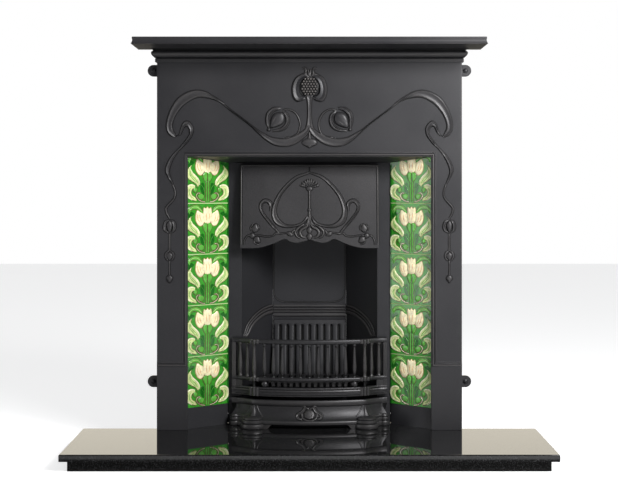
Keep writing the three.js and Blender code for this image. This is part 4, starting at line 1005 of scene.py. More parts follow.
# %% Jambs
DROP_X = 419              # mm from the centre line, where the drops hang
for side in (-1, 1):
    face = on_face(side)
    ribbon(surround, [(390, 841), (387, 847), (409, 825), (424, 803), (431, 778), (424, 760),
                      (411, 737)], [(388, 839), (386, 842), (402, 822), (413, 800), (420, 778),
                                    (417, 760), (407, 734)], RELIEF, face, 40)
    stroke(surround, [(409, 735), (402, 712), (406, 693), (424, 673), (430, 662), (427, 648),
                      (419, 634)], (4, 4, 5, 3.5), 3.5, face, 32)
    pillow(surround, drop((DROP_X, 611), (DROP_X, 591), 8), 7, face)
    for way, reach in ((1, 19), (-1, 20)):
        ribbon(surround, [(DROP_X + way * u, z) for u, z in (
            (0, 630), (14, 626), (reach, 610), (15, 596), (0, 588))], [
            (DROP_X + way * u, z) for u, z in ((0, 629), (7, 622), (10, 609), (8, 598), (0, 591))],
            4.5, face, 24)
    for shift in (-1.3, 1.3):
        stroke(surround, [(DROP_X + shift, 588), (DROP_X + shift, 537)], (2.4, 2.4), 2.6, face, 12)
    pillow(surround, drop((DROP_X, 521), (DROP_X, 507), 9), 6, face)
    for way in (1, -1):
        ribbon(surround, [(DROP_X + way * u, z) for u, z in (
            (0, 538), (11, 533), (15, 521), (9, 509), (0, 506))], [
            (DROP_X + way * u, z) for u, z in ((0, 537), (6, 530), (9, 521), (5, 511), (0, 508))],
            4, face, 20)
    stroke(surround, [(DROP_X, 507), (DROP_X, 462)], (3.5, 3.0), 3, face, 12)
    pillow(surround, [(419, 464), (426, 460), (428, 454), (424, 447), (419, 441), (414, 447),
                      (410, 454), (412, 460)], 6, face)

put("surround_casting", surround, "fireplace", "blacked_iron", ["surround_front"])

# %% [markdown]
# ## Mantel shelf
# The shelf is a shallow tray casting: a flat top with a flared edge and a thin apron below. Its
# section is swept round the front and both ends with mitred corners, so that the nosing returns to
# the wall.

# %% Shelf
(_, SHELF_FRONT, SHELF_FOOT), (SHELF_HALF, _, SHELF_TOP) = extent("mantel_shelf")
NOSE = [(0, 0), (0.0, 1.2), (-0.9, 3.2), (-2.4, 6), (-3.4, 9.5), (-3.4, 13), (-2.6, 15.5),
        (-2.6, 20), (-3.2, SHELF_TOP - SHELF_FOOT)]
shelf, points = Casting(), []
for out, up in NOSE:
    half, front = SHELF_HALF + out, SHELF_FRONT - out
    points += [(x, y, SHELF_FOOT + up)
               for x, y in ((-half, 0), (-half, front), (half, front), (half, 0))]
sides = [(r + c, r + (c + 1) % 4, r + 4 + (c + 1) % 4, r + 4 + c)
         for r in range(0, len(points) - 4, 4) for c in range(4)]
ends = [list(range(4)), list(range(len(points) - 4, len(points)))]
shelf.mesh(*rounded(points, sides + ends, 0.7), 0.15)
put("mantel_shelf_casting", shelf, "fireplace", "blacked_iron", ["mantel_shelf"])

# %% [markdown]
# ## Tiles
# The tiles are press-moulded: a flat green ground with a raised tulip, its petals cream and its
# leaves pale green, each colour fenced in by a thin raised line so that the glazes do not run
# together. One tile is drawn in millimetres from its centre line and its lower edge, as low domes
# and ribbons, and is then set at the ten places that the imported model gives.

# %% One tile
TILE, TILE_THICK, JOINT = 152.0, 9.0, 2.3
GROUND, DEEP, MID, STEM = (colour(text) for text in ("#3A962C", "#1A641A", "#5FB044", "#55A63F"))
LEAF, LEAF_EDGE, PETAL, PEACH, PETAL_LINE = (
    colour(text) for text in ("#D3E09A", "#F4F6CC", "#FFF4C8", "#EDBB84", "#B08A5E"))


def tile_artwork(casting, place):
    """The raised tulip of a tile: du across from its centre, v up from its lower edge."""
    for s in (-1, 1):
        def spot(du, v, out, s=s):
            return place(s * du, v, out)
        # pools of deeper glaze beside the stem and above the leaves
        for pool in ([(12, 58), (22, 60), (26, 44), (20, 28), (12, 24)],
                     [(46, 122), (62, 128), (73, 118), (70, 108), (56, 114)]):
            pillow(casting, pool, 0.15, spot, 14, tint=DEEP, line=GROUND)
        # leaf wings that frame the head
        ribbon(casting, [(15, 126), (28, 143), (46, 148), (61, 143), (72, 133)],
               [(18, 121), (32, 132), (46, 136), (58, 133), (64, 120)], 1.2, spot, 20, tint=MID)
        stroke(casting, [(20, 129), (36, 141), (54, 141), (66, 132)], (1.6, 1.2), 1.0, spot, 14,
               tint=LEAF, line=MID, lift=0.9)
        # large S leaf with its veins
        ribbon(casting, [(33, 50), (28, 63), (36, 77), (52, 91), (61, 101), (57, 113)],
               [(34, 49), (44, 60), (64, 71), (74.4, 82), (74.6, 94), (66, 106), (58, 114)],
               1.9, spot, 34, tint=LEAF)
        for bend in (0, 8):
            stroke(casting, [(34 + bend / 3, 58), (44 + bend, 72), (60 + bend / 2, 87), (62, 105)],
                   (2.0, 2.0, 1.0), 0.8, spot, 18, tint=MID, line=LEAF, lift=1.4)
        stroke(casting, [(32, 55), (31, 64), (39, 76), (54, 89), (61, 99)], (2.6, 2.0), 0.8, spot,
               18, tint=LEAF_EDGE, line=LEAF_EDGE, lift=1.6)
        # lower leaf curling round its knob
        ribbon(casting, [(44, 50), (54, 55), (65, 54), (74, 46), (75, 30), (69, 17), (54, 9),
                         (40, 6)], [(45, 46), (54, 42), (58, 34), (57, 27), (53, 22), (44, 16),
                                    (39, 9)], 1.9, spot, 30, tint=LEAF)
        stroke(casting, [(46, 50), (55, 53.5), (65, 52), (72.5, 45), (73.5, 30), (68, 18.5),
                         (54, 11)], (2.4, 2.0, 2.4), 0.8, spot, 24, tint=LEAF_EDGE, line=LEAF_EDGE,
               lift=1.6)
        stroke(casting, [(60, 46), (66, 36), (62, 22), (48, 12)], (2.2, 1.4), 0.8, spot, 20,
               tint=MID, line=LEAF, lift=1.4)
        pillow(casting, [(44, 47), (51, 40), (44, 31), (37, 40)], 2.2, spot, 16, tint=MID)
        # leaf at the foot, with its curl
        pillow(casting, [(13, 22), (22, 28), (33, 24), (31, 15), (22, 10), (15, 14)], 1.5, spot, 20,
               tint=MID)
        stroke(casting, [(9, 3), (22, 5), (34, 12), (40, 22), (34, 30), (26, 29)], (1.4, 1.2), 1.8,
               spot, 18, tint=LEAF_EDGE)
        stroke(casting, [(10, 30), (14, 44), (22, 54), (30, 57)], (1.2, 1.2), 1.6, spot, 16,
               tint=MID)
        # outer petal
        pillow(casting, [(13, 96), (23, 85), (35, 90), (42, 106), (41, 121), (35.5, 132),
                         (26, 126), (16, 120)], 2.2, spot, 30, tint=PETAL, line=PETAL_LINE)
        for bend in (0, 9):
            stroke(casting, [(20 + bend / 2, 93), (26 + bend, 104), (30 + bend * 0.8, 122)],
                   (1.6, 2.8, 1.8), 0.7, spot, 18, tint=PEACH, line=PETAL, lift=2.0)
        # calyx lobe and stem
        pillow(casting, [(1.5, 92), (9, 93), (16, 87), (15, 77), (8, 65), (2, 70)], 2.2, spot, 20,
               tint=MID)
        stroke(casting, [(3.8, 66), (3.8, 4)], (5.4, 5.4), 1.7, spot, 10, tint=STEM)
        stroke(casting, [(74.6, 0.8), (74.6, 151.2)], (1.6, 1.6), 0.9, spot, 6, tint=DEEP,
               line=DEEP)
    # middle petal, over the outer two
    pillow(casting, [(-8, 93), (8, 93), (14.5, 104), (15, 124), (12.5, 140), (5.5, 136), (0, 142),
                     (-5.5, 136), (-12.5, 140), (-15, 124), (-14.5, 104)],
           3.0, place, 40, tint=PETAL, line=PETAL_LINE)
    for du in (-5, 5):
        stroke(casting, [(du * 0.6, 96), (du, 112), (du * 1.3, 130)], (1.8, 2.8, 1.6), 0.7, place,
               14, tint=PEACH, line=PETAL, lift=2.8)


# %% [markdown]
# ## Setting the tiles
# A tiler sets each tile upright against the splayed cheek and leaves a fine joint of pale grout.
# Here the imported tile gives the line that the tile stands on: its outer front corner and the corner
# one tile's width away. The artwork is laid on that line, on both sides of the fireplace alike.

# %% Ten tiles and their joints
SOFT_EDGE = 1.0                 # mm that a tile's edge is rounded by its glaze
GROUT_BACK = 1.2                # mm that the joint lies behind the glaze
HALF_TILE = TILE / 2


def front_line(node, side):
    """Where a tile's front stands: its middle, its way inwards to outwards, and its outward way."""
    corners = sorted({(round(v.co.x / MM, 2), round((v.co.y - WALL) / MM, 2))
                      for v in frame["nodes"][node].data.vertices}, key=lambda c: c[1])
    outer = Vector(corners[0])
    inner = Vector(min(corners[1:], key=lambda c: abs((Vector(c) - outer).length - TILE)))
    along = (inner - outer).normalized() * side * -1
    return (outer + inner) / 2, along, Vector((-abs(along.y) * side, -abs(along.x)))


for side, word in ((-1, "left"), (1, "right")):
    grout = Casting()
    for number in range(1, 6):
        node = f"tile_{word}_{number}"
        middle, along, normal = front_line(node, side)

        def on_tile(du, v, out, middle=middle, along=along, normal=normal, foot=extent(node)[0][2]):
            spot = middle + along * du + normal * out
            return (spot.x, spot.y, foot + v)

        tile = Casting()
        tile.rings([[on_tile(du * (HALF_TILE - inset), v, out) for du, v in (
            (-1, inset), (1, inset), (1, TILE - inset), (-1, TILE - inset))]
            for inset, out in ((0, -TILE_THICK), (0, -SOFT_EDGE),
                               (SOFT_EDGE * 0.3, -SOFT_EDGE * 0.3), (SOFT_EDGE, 0))], GROUND)
        tile_artwork(tile, on_tile)
        put(f"{node}_glazed", tile, "fireplace", "glazed_tile", [node])
        if number > 1:
            grout.rings([[on_tile(du * HALF_TILE, v, out) for du, v in (
                (-1, -JOINT), (1, -JOINT), (1, 0), (-1, 0))] for out in (-TILE_THICK, -GROUT_BACK)])
    put(f"tile_joints_{word}", grout, "fireplace", "bedding", material=plain["Tile grout"])

# %% [markdown]
# ## Hood
# The hood is a thin casting that leans out towards its waved lower edge. Cutting the wave out of a
# plate would leave a hard edge, so one section is carried across the hood instead and its lower end
# follows the wave. The relief is laid on that slope: a heart of two dished ribbons, a stem with a
# small crown flower, and scrolls with buds in the lower corners.

# %% Hood
(_, _, HOOD_FOOT), (HOOD_HALF, HOOD_BACK, HOOD_TOP) = extent("hood")
HOOD_TOP_FACE, HOOD_FOOT_FACE, HOOD_WALL = 63.02, 35.02, 6.0
HOOD_WAVE = [(0, 25.5), (21, 20), (40, 16), (59, 20), (76, 27.5), (110, 14), (154, 1.5),
             (HOOD_HALF, 0)]
WAVE_STATIONS = 97
lean = (HOOD_TOP_FACE - HOOD_FOOT_FACE) / (HOOD_TOP - HOOD_FOOT)
wave = smooth([(-x, up) for x, up in HOOD_WAVE[:0:-1]] + HOOD_WAVE, WAVE_STATIONS)
hood = Casting()


def hood_face(z):
    """How far out the hood's sloping face is at a height."""
    return HOOD_TOP_FACE - lean * (HOOD_TOP - z)


rings = []
for p in wave:
    low = HOOD_FOOT + p.y
    rings.append([(p.x, y, z) for y, z in (
        (HOOD_BACK, HOOD_TOP), (HOOD_TOP_FACE + 1, HOOD_TOP), (HOOD_TOP_FACE + 0.2, HOOD_TOP - 0.8),
        (hood_face(low + 1.5), low + 1.5), (hood_face(low) + 1, low + 0.3),
        (hood_face(low) + 2.5, low), (hood_face(low) + HOOD_WALL, low + 0.6),
        (HOOD_TOP_FACE + HOOD_WALL, HOOD_TOP - HOOD_WALL), (HOOD_BACK, HOOD_TOP - HOOD_WALL))])
hood.rings(rings, 0.15)
for side in (-1, 1):
    hood.rings([[(side * x, y, z) for y, z in (
        (HOOD_BACK, HOOD_TOP - 1), (HOOD_TOP_FACE + 2, HOOD_TOP - 1),
        (hood_face(HOOD_FOOT) + 2, HOOD_FOOT + 1), (HOOD_BACK, HOOD_FOOT + 1))]
        for x in (HOOD_HALF - HOOD_WALL, HOOD_HALF - 0.4)], 0.15)
print("hood wall has", len(hood.faces), "faces")

# %% Relief of the hood



def on_hood(side):
    """Places relief on the sloping face of the hood, on one side of the centre."""
    return lambda u, z, out: (side * u, hood_face(z) - out, z)


CROWN_FOOT = 732          # height of the crown flower's foot
for side in (-1, 1):
    face = on_hood(side)
    ribbon(hood, [(0.5, 774), (40, 761), (69, 738), (95, 707), (110, 675), (115, 649), (110, 626),
                  (95, 611), (69, 604), (40, 608), (17, 618), (5, 634)],
           [(0.5, 770), (37, 755), (63, 732), (86, 703), (98, 675), (101, 655), (97, 637),
            (86, 623), (69, 613), (46, 612), (23, 620), (6, 640)], 3.6, face, 60)
    ribbon(hood, [(94, 585), (110, 603), (130, 626), (147, 649), (153, 666), (150, 681), (138, 691),
                  (124, 689), (114, 678), (118, 653)],
           [(91, 588), (105, 606), (124, 629), (140, 650), (146, 665), (143, 675), (135, 681),
            (126, 678), (121, 669), (121, 654)], 3.6, face, 48)
    stroke(hood, [(94, 586), (104, 587), (110, 580), (130, 577), (156, 581), (168, 580)],
           (3, 3, 2.5), 2.4, face)
    stroke(hood, [(199, 552), (198, 565), (190, 578), (180, 582)], (2.5, 3), 2.4, face, 16)
    pillow(hood, drop((166, 602), (163, 616), 10), 4.5, face, 20)
    stroke(hood, [(155, 596), (154, 606), (160, 615)], (2, 3, 2), 3, face, 12)
    stroke(hood, [(177, 594), (179, 604), (172, 615)], (2, 3, 2), 3, face, 12)
    pillow(hood, drop((160, 568), (151, 559), 9), 4.5, face, 20)
    stroke(hood, [(170, 567), (166, 557), (155, 553)], (2, 3, 2), 3, face, 12)
    pillow(hood, [(174, 588), (182, 580), (174, 572), (166, 580)], 5, face, 16)
    stroke(hood, [(94, 585), (81, 587), (69, 588), (60, 585)], (3, 2.5), 2.4, face, 16)
    pillow(hood, drop((60, 585), (50, 580), 6), 3.5, face, 16)
    stroke(hood, [(3, 618), (10, 606), (22, 600), (29, 590), (24, 578), (13, 574)], (4, 7, 8, 4),
           3.4, face, 26)
    stroke(hood, [(17, 614), (33, 604), (43, 591), (38, 578), (28, 572)], (3, 7, 6, 3), 3.4, face,
           24)
    stroke(hood, [(45, 598), (52, 590), (56, 580)], (3, 5, 3), 3, face, 14)
    for k in range(4):                       # pearls under the crown flower, on a slight sag
        du = 3.4 + 6.6 * k
        pillow(hood, [(du + 3.1 * c, CROWN_FOOT - 5 + 0.012 * du * du + 2.6 * sine)
                      for c, sine in circle(8)], 3.4, face, 12)
    for u, z in ((27.5, 736), (22, 743.5), (14.5, 749), (7, 752.5)):         # its petals
        stroke(hood, [(u * 0.55, CROWN_FOOT + (z - CROWN_FOOT) * 0.2), (u * 0.9, z - 4), (u, z)],
               (3, 5.5, 3.5), 3.4, face, 12)
    stroke(hood, [(HOOD_HALF - 2.4, 552), (HOOD_HALF - 2.4, HOOD_TOP - 1)], (4.3, 4.3), 2.2,
           face, 10)
face = on_hood(1)
stroke(hood, [(-HOOD_HALF + 1, HOOD_TOP - 2.5), (HOOD_HALF - 1, HOOD_TOP - 2.5)], (4.3, 4.3), 2.2,
       face, 10)
stroke(hood, [(0, 776), (0, HOOD_TOP - 5)], (0.6, 0.6), 0.4, face, 6, tint=-1.0)    # a thin raised line down the middle, tinted dark
stroke(hood, [(0, 732), (0, 753.5)], (3, 5.5, 3.5), 3.4, face, 10)
stroke(hood, [(0, 722), (0, 640), (0, 618)], (5, 5, 9), 3.0, face, 20)
ribbon(hood, [(-3, 640), (-8, 622), (-16, 612)], [(3, 640), (8, 622), (16, 612)], 3.2, face, 12)
pillow(hood, drop((0, 596), (0, 584), 7), 4, face, 18)
pillow(hood, [(0, 730), (9, 726), (8, 719), (0, 715), (-8, 719), (-9, 726)], 4, face, 18)
pillow(hood, [(0, 662), (6, 658), (0, 653), (-6, 658)], 4, face, 16)
pillow(hood, drop((0, 577), (0, 566), 8), 4, face, 18)
put("hood_casting", hood, "fireplace", "burnished_iron", ["hood"])

# %% [markdown]
# ## A row that follows the bow of the bars
# The front bars bow gently out between two corner posts, and the balusters stand along that bow at
# an even pitch. So do the teeth at the front of the grate. Geometry Nodes suits such a row: it lays
# points on a straight line, moves them onto the bow by a formula, and sets one form on each. The
# modifier's result is then kept as a plain mesh.

# %% The bow and its node tree
PLATE_FACE = extent("inner_plate")[0][1]
(_, BARS_FRONT, _), (BARS_HALF, _, _) = extent("front_bars")
CORNER_HALF = BARS_HALF - 70.0
CENTRE_REACH, CORNER_REACH, END_REACH = PLATE_FACE - BARS_FRONT, 55.0, 18.0   # from that plate


def bow(x):
    """The front of the bars, out from the wall, at a distance from the centre line."""
    off = abs(x)
    if off <= CORNER_HALF:
        return PLATE_FACE - CENTRE_REACH + (CENTRE_REACH - CORNER_REACH) * (off / CORNER_HALF) ** 2
    share = min((off - CORNER_HALF) / (BARS_HALF - CORNER_HALF), 1)
    return PLATE_FACE - CORNER_REACH + (CORNER_REACH - END_REACH) * math.sin(share * math.pi / 2)


row, given = new_tree("Row along a bow", "Row", (
    ("Form", "Object"), ("Count", "Int"), ("Pitch", "Float"), ("Middle", "Float"),
    ("Sweep", "Float"), ("Corner half", "Float"), ("Finish", "Material")))
last = add(row, "ShaderNodeMath", {0: given["Count"], 1: 1.0}, operation="SUBTRACT")
width = add(row, "ShaderNodeMath", {0: last, 1: given["Pitch"]}, operation="MULTIPLY")
start = add(row, "ShaderNodeMath", {0: width, 1: -0.5}, operation="MULTIPLY")
line = add(row, "GeometryNodeMeshLine", {
    "Count": given["Count"], "Start Location": add(row, "ShaderNodeCombineXYZ", {0: start}),
    "Offset": add(row, "ShaderNodeCombineXYZ", {0: given["Pitch"]})}, mode="OFFSET")
spot = add(row, "ShaderNodeSeparateXYZ", {0: add(row, "GeometryNodeInputPosition")})
share = add(row, "ShaderNodeMath", {0: spot.outputs["X"], 1: given["Corner half"]},
            operation="DIVIDE")
square = add(row, "ShaderNodeMath", {0: share, 1: share}, operation="MULTIPLY")
out = add(row, "ShaderNodeMath", {0: square, 1: given["Sweep"], 2: given["Middle"]},
          operation="MULTIPLY_ADD")
bent = add(row, "GeometryNodeSetPosition", {
    "Geometry": line, "Offset": add(row, "ShaderNodeCombineXYZ", {1: out})})
form = add(row, "GeometryNodeObjectInfo", {"Object": given["Form"]})
placed = add(row, "GeometryNodeInstanceOnPoints",
             {"Points": bent, "Instance": form.outputs["Geometry"]})
real = add(row, "GeometryNodeRealizeInstances", {0: placed})
painted = add(row, "GeometryNodeSetMaterial", {"Geometry": real, "Material": given["Finish"]})
add(row, "NodeGroupOutput", {"Row": painted})
print("row tree has", len(row.nodes), "nodes")


# %% [markdown]
# ## Front bars
# The front bars are one casting of three rails with balusters between the upper two. The upper
# rails have round noses and the lowest has a moulded face. Each rail is one section swept along the
# bow, and every station turns the section to face outwards, so that its depth stays the same.

# %% Sections along the bow
RAIL_DEPTH = 14.0
END_WAIST, END_WAIST_FROM = 14.0, 212.0   # mm that the ash cover's ends draw in below their bead
WAIST_FOOT, WAIST_RISE, WAIST_TOP = 34, 22, 66                # heights between which they do


def bow_stations():
    """Places along the front, each with its outward direction, closer where it turns."""
    front = [CORNER_HALF * k / 14 for k in range(15)]
    right = front + [CORNER_HALF + (BARS_HALF - CORNER_HALF) * k / 10 for k in range(1, 11)]
    result = []
    for x in [-x for x in right[:0:-1]] + right:
        slope = (bow(x + 0.5) - bow(x - 0.5)) if abs(x) < BARS_HALF - 1 else 0.0
        facing = Vector((slope, -1)).normalized()
        result.append((x, bow(x), facing.x, facing.y))
    return result


def along_bow(casting, profile, flare=None, tint=0.3):
    """Sweeps a section, given as distance out and height, along the front of the bars."""
    rings = []
    for x, y, nx, ny in bow_stations():
        reach, pinch = 1.0, 0.0
        if flare:
            reach = flare(x)
            pinch = END_WAIST * max(0, abs(x) - END_WAIST_FROM) / (BARS_HALF - END_WAIST_FROM)
        ring = []
        for out, z in profile:
            in_hollow = min(max((z - WAIST_FOOT) / WAIST_RISE, 0), 1) if z < WAIST_TOP else 0
            far = out * (reach if out > 0 else 1)
            ring.append((x + nx * far - math.copysign(pinch * in_hollow, x), y + ny * far, z))
        rings.append(ring)
    casting.rings(rings, tint)


# %% Rails
NOSE_DEPTH, CHAMFER = 3.2, 0.6


def nosed(z0, z1):
    """A rail's section with a round nose."""
    middle, half = (z0 + z1) / 2, (z1 - z0) / 2
    nose = [(-NOSE_DEPTH + NOSE_DEPTH * math.cos(a), middle + half * math.sin(a))
            for a in (math.pi * k / 12 for k in range(-6, 7))]
    return [(-RAIL_DEPTH, z0 + CHAMFER), (-RAIL_DEPTH + CHAMFER, z0), *nose,
            (-RAIL_DEPTH + CHAMFER, z1), (-RAIL_DEPTH, z1 - CHAMFER)]


LOWER_RAIL = [(-14, 93.5), (-13.5, 93), (-1.6, 93), (-0.7, 94), (-0.7, 96.2), (-2.2, 97),
              (-2.2, 97.8), (-0.6, 98.6), (-0.5, 104), (-0.1, 106), (0.6, 107.6), (0.9, 109),
              (0.6, 110.4), (-0.2, 111.6), (-0.6, 112.8), (-2.4, 113.4), (-2.4, 114.8),
              (-0.4, 115.4), (0, 117.6), (-0.8, 119.4), (-2.2, 120), (-13.5, 120), (-14, 119.5)]
# painted shade in the lower rail's grooves and along its foot
LOWER_TINT = [0, 0, -0.6, 0.1, 0.1, -1, -1, 0.1, 0, 0.1, 0.2, 0.3, 0.2, 0.1, 0, -1, -1, 0.2, 0.2,
              0, 0, 0, 0]
RAILS = ((93, 120), (138, 150), (251, 265))                   # heights of the foot and the top
bars = Casting()
along_bow(bars, LOWER_RAIL, tint=LOWER_TINT)
# the upper rails are tinted darker underneath and at the back, as painted shade
for z0, z1 in RAILS[1:]:
    along_bow(bars, nosed(z0, z1), tint=[-0.8, -0.8, -0.6, -0.4, -0.3] + [-0.1] * 6 + [-0.2] * 6)

print("rails have", len(bars.faces), "faces")

# %% [markdown]
# ## Posts, knuckles and hooks
# Where the front meets the ends stands a thick corner post behind a knuckle of three reeds, and the
# rails end in square posts. Two hooks at the back hang in slots of the plate. All of them are
# turned forms or small blocks that run into the rails, as they do in the one casting.

# %% Knuckles, posts and hooks
REEDS_OUT = ((-9.5, 2.4), (0, 1.6), (9.5, 0.4))       # place along the rail, and depth behind it
BOTTLE = [(6.6, 149), (6.6, 151.5), (5.2, 153.5), (4.4, 157), (5.0, 162), (6.1, 170), (6.4, 178),
          (6.0, 190), (5.2, 206), (4.3, 224), (3.7, 238), (3.7, 243), (5.0, 245.5), (6.2, 247.5),
          (6.2, 252)]
STUB = [(5, 119), (4.2, 122), (4, 129), (4.2, 136), (5, 139)]
BOSS_X = 136
BOSS = [(2, 119.5), (6.5, 121.5), (9, 125), (9.8, 129), (9, 133), (6.5, 136.5), (2, 138.5)]
END_BOTTLES = ((189, 1.0), (212, 1.15))               # place, and how much thicker
END_BLOCK = (206, 211, 216, 221, 227, 236)            # places along the block between the low rails
HOOK_X, HOOK_HALF = 228.9, 2.5
end_front = PLATE_FACE - END_REACH
for side in (-1, 1):
    for z0, z1 in RAILS:
        for shift, depth in REEDS_OUT:
            x = CORNER_HALF + shift
            turned(bars, side * x, bow(x) + depth, [
                (3, z0 + 0.2), (5.2, z0 + 0.8), (5.9, z0 + 2.4), (5.9, z1 - 2.4), (5.2, z1 - 0.8),
                (3, z1 - 0.2)], 16, 0.35)
    corner = side * CORNER_HALF
    turned(bars, corner, bow(corner) + 7, BOTTLE, 20, 0.5)
    # the stub behind the post is tinted dark, as painted shade between the rails
    turned(bars, corner, bow(corner) + 9, STUB, 16, -0.7)
    for x, size in END_BOTTLES:
        turned(bars, side * x, bow(x) + 7, [(r * size, z) for r, z in BOTTLE], 18, 0.5)
    end = side * (BARS_HALF - 6)
    bars.box(end - 6, end + 6, end_front + 0.6, end_front + RAIL_DEPTH, 94, 264, 1.2, 0.3)
    for shift in (-3.6, 0, 3.6):
        turned(bars, end + shift, end_front + 1.8, [(1.2, 152), (1.7, 154), (1.7, 247), (1.2, 249)],
               10, 0.5)
    turned(bars, side * BOSS_X, bow(BOSS_X) + 6, BOSS, 20, 0.1, (1.0, 0.7))
    bars.rings([[(side * x, bow(x) + y, z) for y, z in ((2.5, 119), (2.5, 139), (9, 139), (9, 119))]
                for x in END_BLOCK], 0.2)
    hook = side * HOOK_X
    for y0, z0, z1 in ((end_front + 4, 176, 190), (PLATE_FACE + 9.2, 162, 177)):    # arm and drop
        bars.box(hook - HOOK_HALF, hook + HOOK_HALF, y0, PLATE_FACE + 13.9, z0, z1, 0.5)
put("front_bars_casting", bars, "front_bars", "burnished_iron", ["front_bars"])

# %% Balusters
BALUSTERS, BALUSTER_PITCH = 11, 27.3
baluster = Casting()
# painted shade: dark round the foot, darkest in the groove above it, a little under the head; the
# body rubbed
turned(baluster, 0, 7, [(4.8, 149), (5.2, 151), (4.6, 153), (3.2, 154.5), (3.2, 156.5), (4.6, 162),
                        (6.0, 169), (6.3, 175), (6.0, 184), (5.2, 198), (4.1, 215), (3.2, 232),
                        (2.8, 241), (3.4, 243), (5.2, 245), (5.6, 247.5), (5.2, 252)],
       18, [-0.6] * 36 + [0] * 18 + [-1.0] * 36 + [0.0] * 18 + [0.2] * 126 + [-0.3] * 18 + [0] * 54)
BOW = {"middle": (PLATE_FACE - CENTRE_REACH) * MM, "sweep": (CENTRE_REACH - CORNER_REACH) * MM,
       "corner_half": CORNER_HALF * MM}
grow("front_bars_balusters", row, "front_bars", "burnished_iron", count=BALUSTERS,
     form=form_of("baluster", baluster), pitch=BALUSTER_PITCH * MM, **BOW)

# %% [markdown]
# ## Bottom grate
# The grate is a plate of bars that carries the fire. Its front edge shows between the lower two
# rails as a row of small arches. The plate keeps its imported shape, and the arches are one little
# post, flared at its head, set along the same bow.

# %% Grate
finished_copy("bottom_grate", 0.6)
GRATE_SLOTS, GRATE_PITCH, BEHIND_BARS, POST_MIDDLE = 14, 18.4, 20.0, 129
post = Casting()
flank = [(5, 121), (5, 130.4), (5.3, 132), (6.3, 133.4), (7.8, 134.2), (9.2, 134.4), (9.2, 137.6)]
outline = flank + [(-x, z) for x, z in flank[::-1]]
post.rings([[(x * inset, BEHIND_BARS + y, POST_MIDDLE + (z - POST_MIDDLE) * inset)
             for x, z in outline] for y, inset in ((0, 0.96), (0.5, 1.0), (5, 1.0))], 0.3)
grow("grate_arches", row, "bottom_grate", "burnished_iron", count=GRATE_SLOTS + 1,
     form=form_of("grate_post", post), pitch=GRATE_PITCH * MM, **BOW)

# %% [markdown]
# ## Ash-pan cover
# The cover hides the ash pan below the bars. It repeats the bow of the bars, with a round top bead,
# a hollow face that flares out to a lower bead, ribs at the corners, and feet of three tiers. The
# face is one section swept along the bow. It flares less towards the ends, and the ends draw in.

# %% Face of the ash cover
END_FLARE = 0.3                           # share of the flare that is left at the ends
HOLLOW = [(23.6, 25.4), (20.5, 27.4), (16.5, 31), (12, 37), (8.3, 44), (5.6, 51), (3.8, 58),
          (2.9, 64)]
COVER = [(26.4, 13), (27.5, 14.2), (28, 16.6), (28, 20), (27.2, 23), (25.6, 24.8), *HOLLOW,
         (1.2, 65.6), (1.2, 66.4), (3.2, 67), (4.5, 69.4), (5, 73), (5, 76), (4.5, 79.6),
         (3.2, 82.2), (1, 83), (-6, 83), (-6, 66), (-3.6, 57), (-1, 49), (3, 41), (8.5, 33),
         (14.5, 26.5), (21, 21), (22, 13)]
# painted shade: the hollow face and the back a little dark, the groove under the top bead darkest;
# the beads rubbed brighter
COVER_TINT = ([0.1] + [0.3] * 4 + [0] + [-0.2] * 8
              + [-0.9, -0.6, 0.1, 0.2, 0.3, 0.3, 0.2, 0.1, -0.2] + [-0.3] * 9)


def cover_flare(x):
    """How much of the flare is left, this far from the centre line."""
    share = min(max((abs(x) - CORNER_HALF) / (BARS_HALF - CORNER_HALF), 0), 1)
    return 1 - (1 - END_FLARE) * share


def hollow_at(z):
    """How far out the hollow face is at a height, on the centre line."""
    for (out0, z0), (out1, z1) in zip(HOLLOW, HOLLOW[1:]):
        if z <= z1:
            break
    share = min(max((z - z0) / (z1 - z0), 0), 1)
    return out0 + (out1 - out0) * share


cover = Casting()
along_bow(cover, COVER, cover_flare, COVER_TINT)
print("cover's face has", len(cover.faces), "faces")

# %% [markdown]
# ## Feet, ribs and brackets of the cover
# Each corner stands on a turned foot of three tiers, which runs on round the end as a moulding of
# the same profile. Three ribs fan out down each corner to the foot. The opening between the feet
# ends in small brackets. The feet stop a hair above the hearth, so that the cover can slide on it.

# %% Feet, ribs and brackets
LIFT = 0.2                # mm of air under the cover
FOOT_REACH, END_FOOT_REACH, FOOT_WIDEN = 28, 17, 1.28     # mm, mm, and sideways stretch
FOOT = [(24, LIFT), (26.8, 1), (FOOT_REACH, 3.6), (28, 9.6), (27, 13), (24.4, 14.6), (23.6, 15.2),
        (23.6, 15.8), (25.4, 17), (26, 20), (25.4, 24.4), (23.4, 26.2), (21.4, 26.8), (21.4, 27.4),
        (22.8, 28.4), (22.6, 31.6), (19, 34.4), (10, 35.6)]
# painted shade in the grooves between the tiers, rubbed and highlit on their rounds
FOOT_SHADES = [0, 0.1, 0.2, 0.4, 0.4, 0, -1, -1, 0.1, 0.3, 0.3, 0, -1, -1, 0.2, 0.3, 0.1, 0]
END_STATIONS, RIB_STATIONS = 8, 12
RIB_TOP, RIB_DROP = 66, 32                # height of the ribs' heads, and how far they run down
RIBS_OF_CORNER = ((-9, -27, 3.0, 1.0), (0, 1, 4.2, 2.6),
                  (9, 27, 3.0, 1.0))  # head, foot, mm, spread
BRACKET = [(150, LIFT), (127, LIFT), (125.5, 1.5), (122, 3.5), (121, 6), (117, 10.5), (111.5, 13.4),
           (150, 14.5)]


def foot_tints(sides):
    """The foot's painted shade and rubbing, once for each point of a turned ring."""
    return [shade_of for shade_of in FOOT_SHADES for _ in range(sides)]


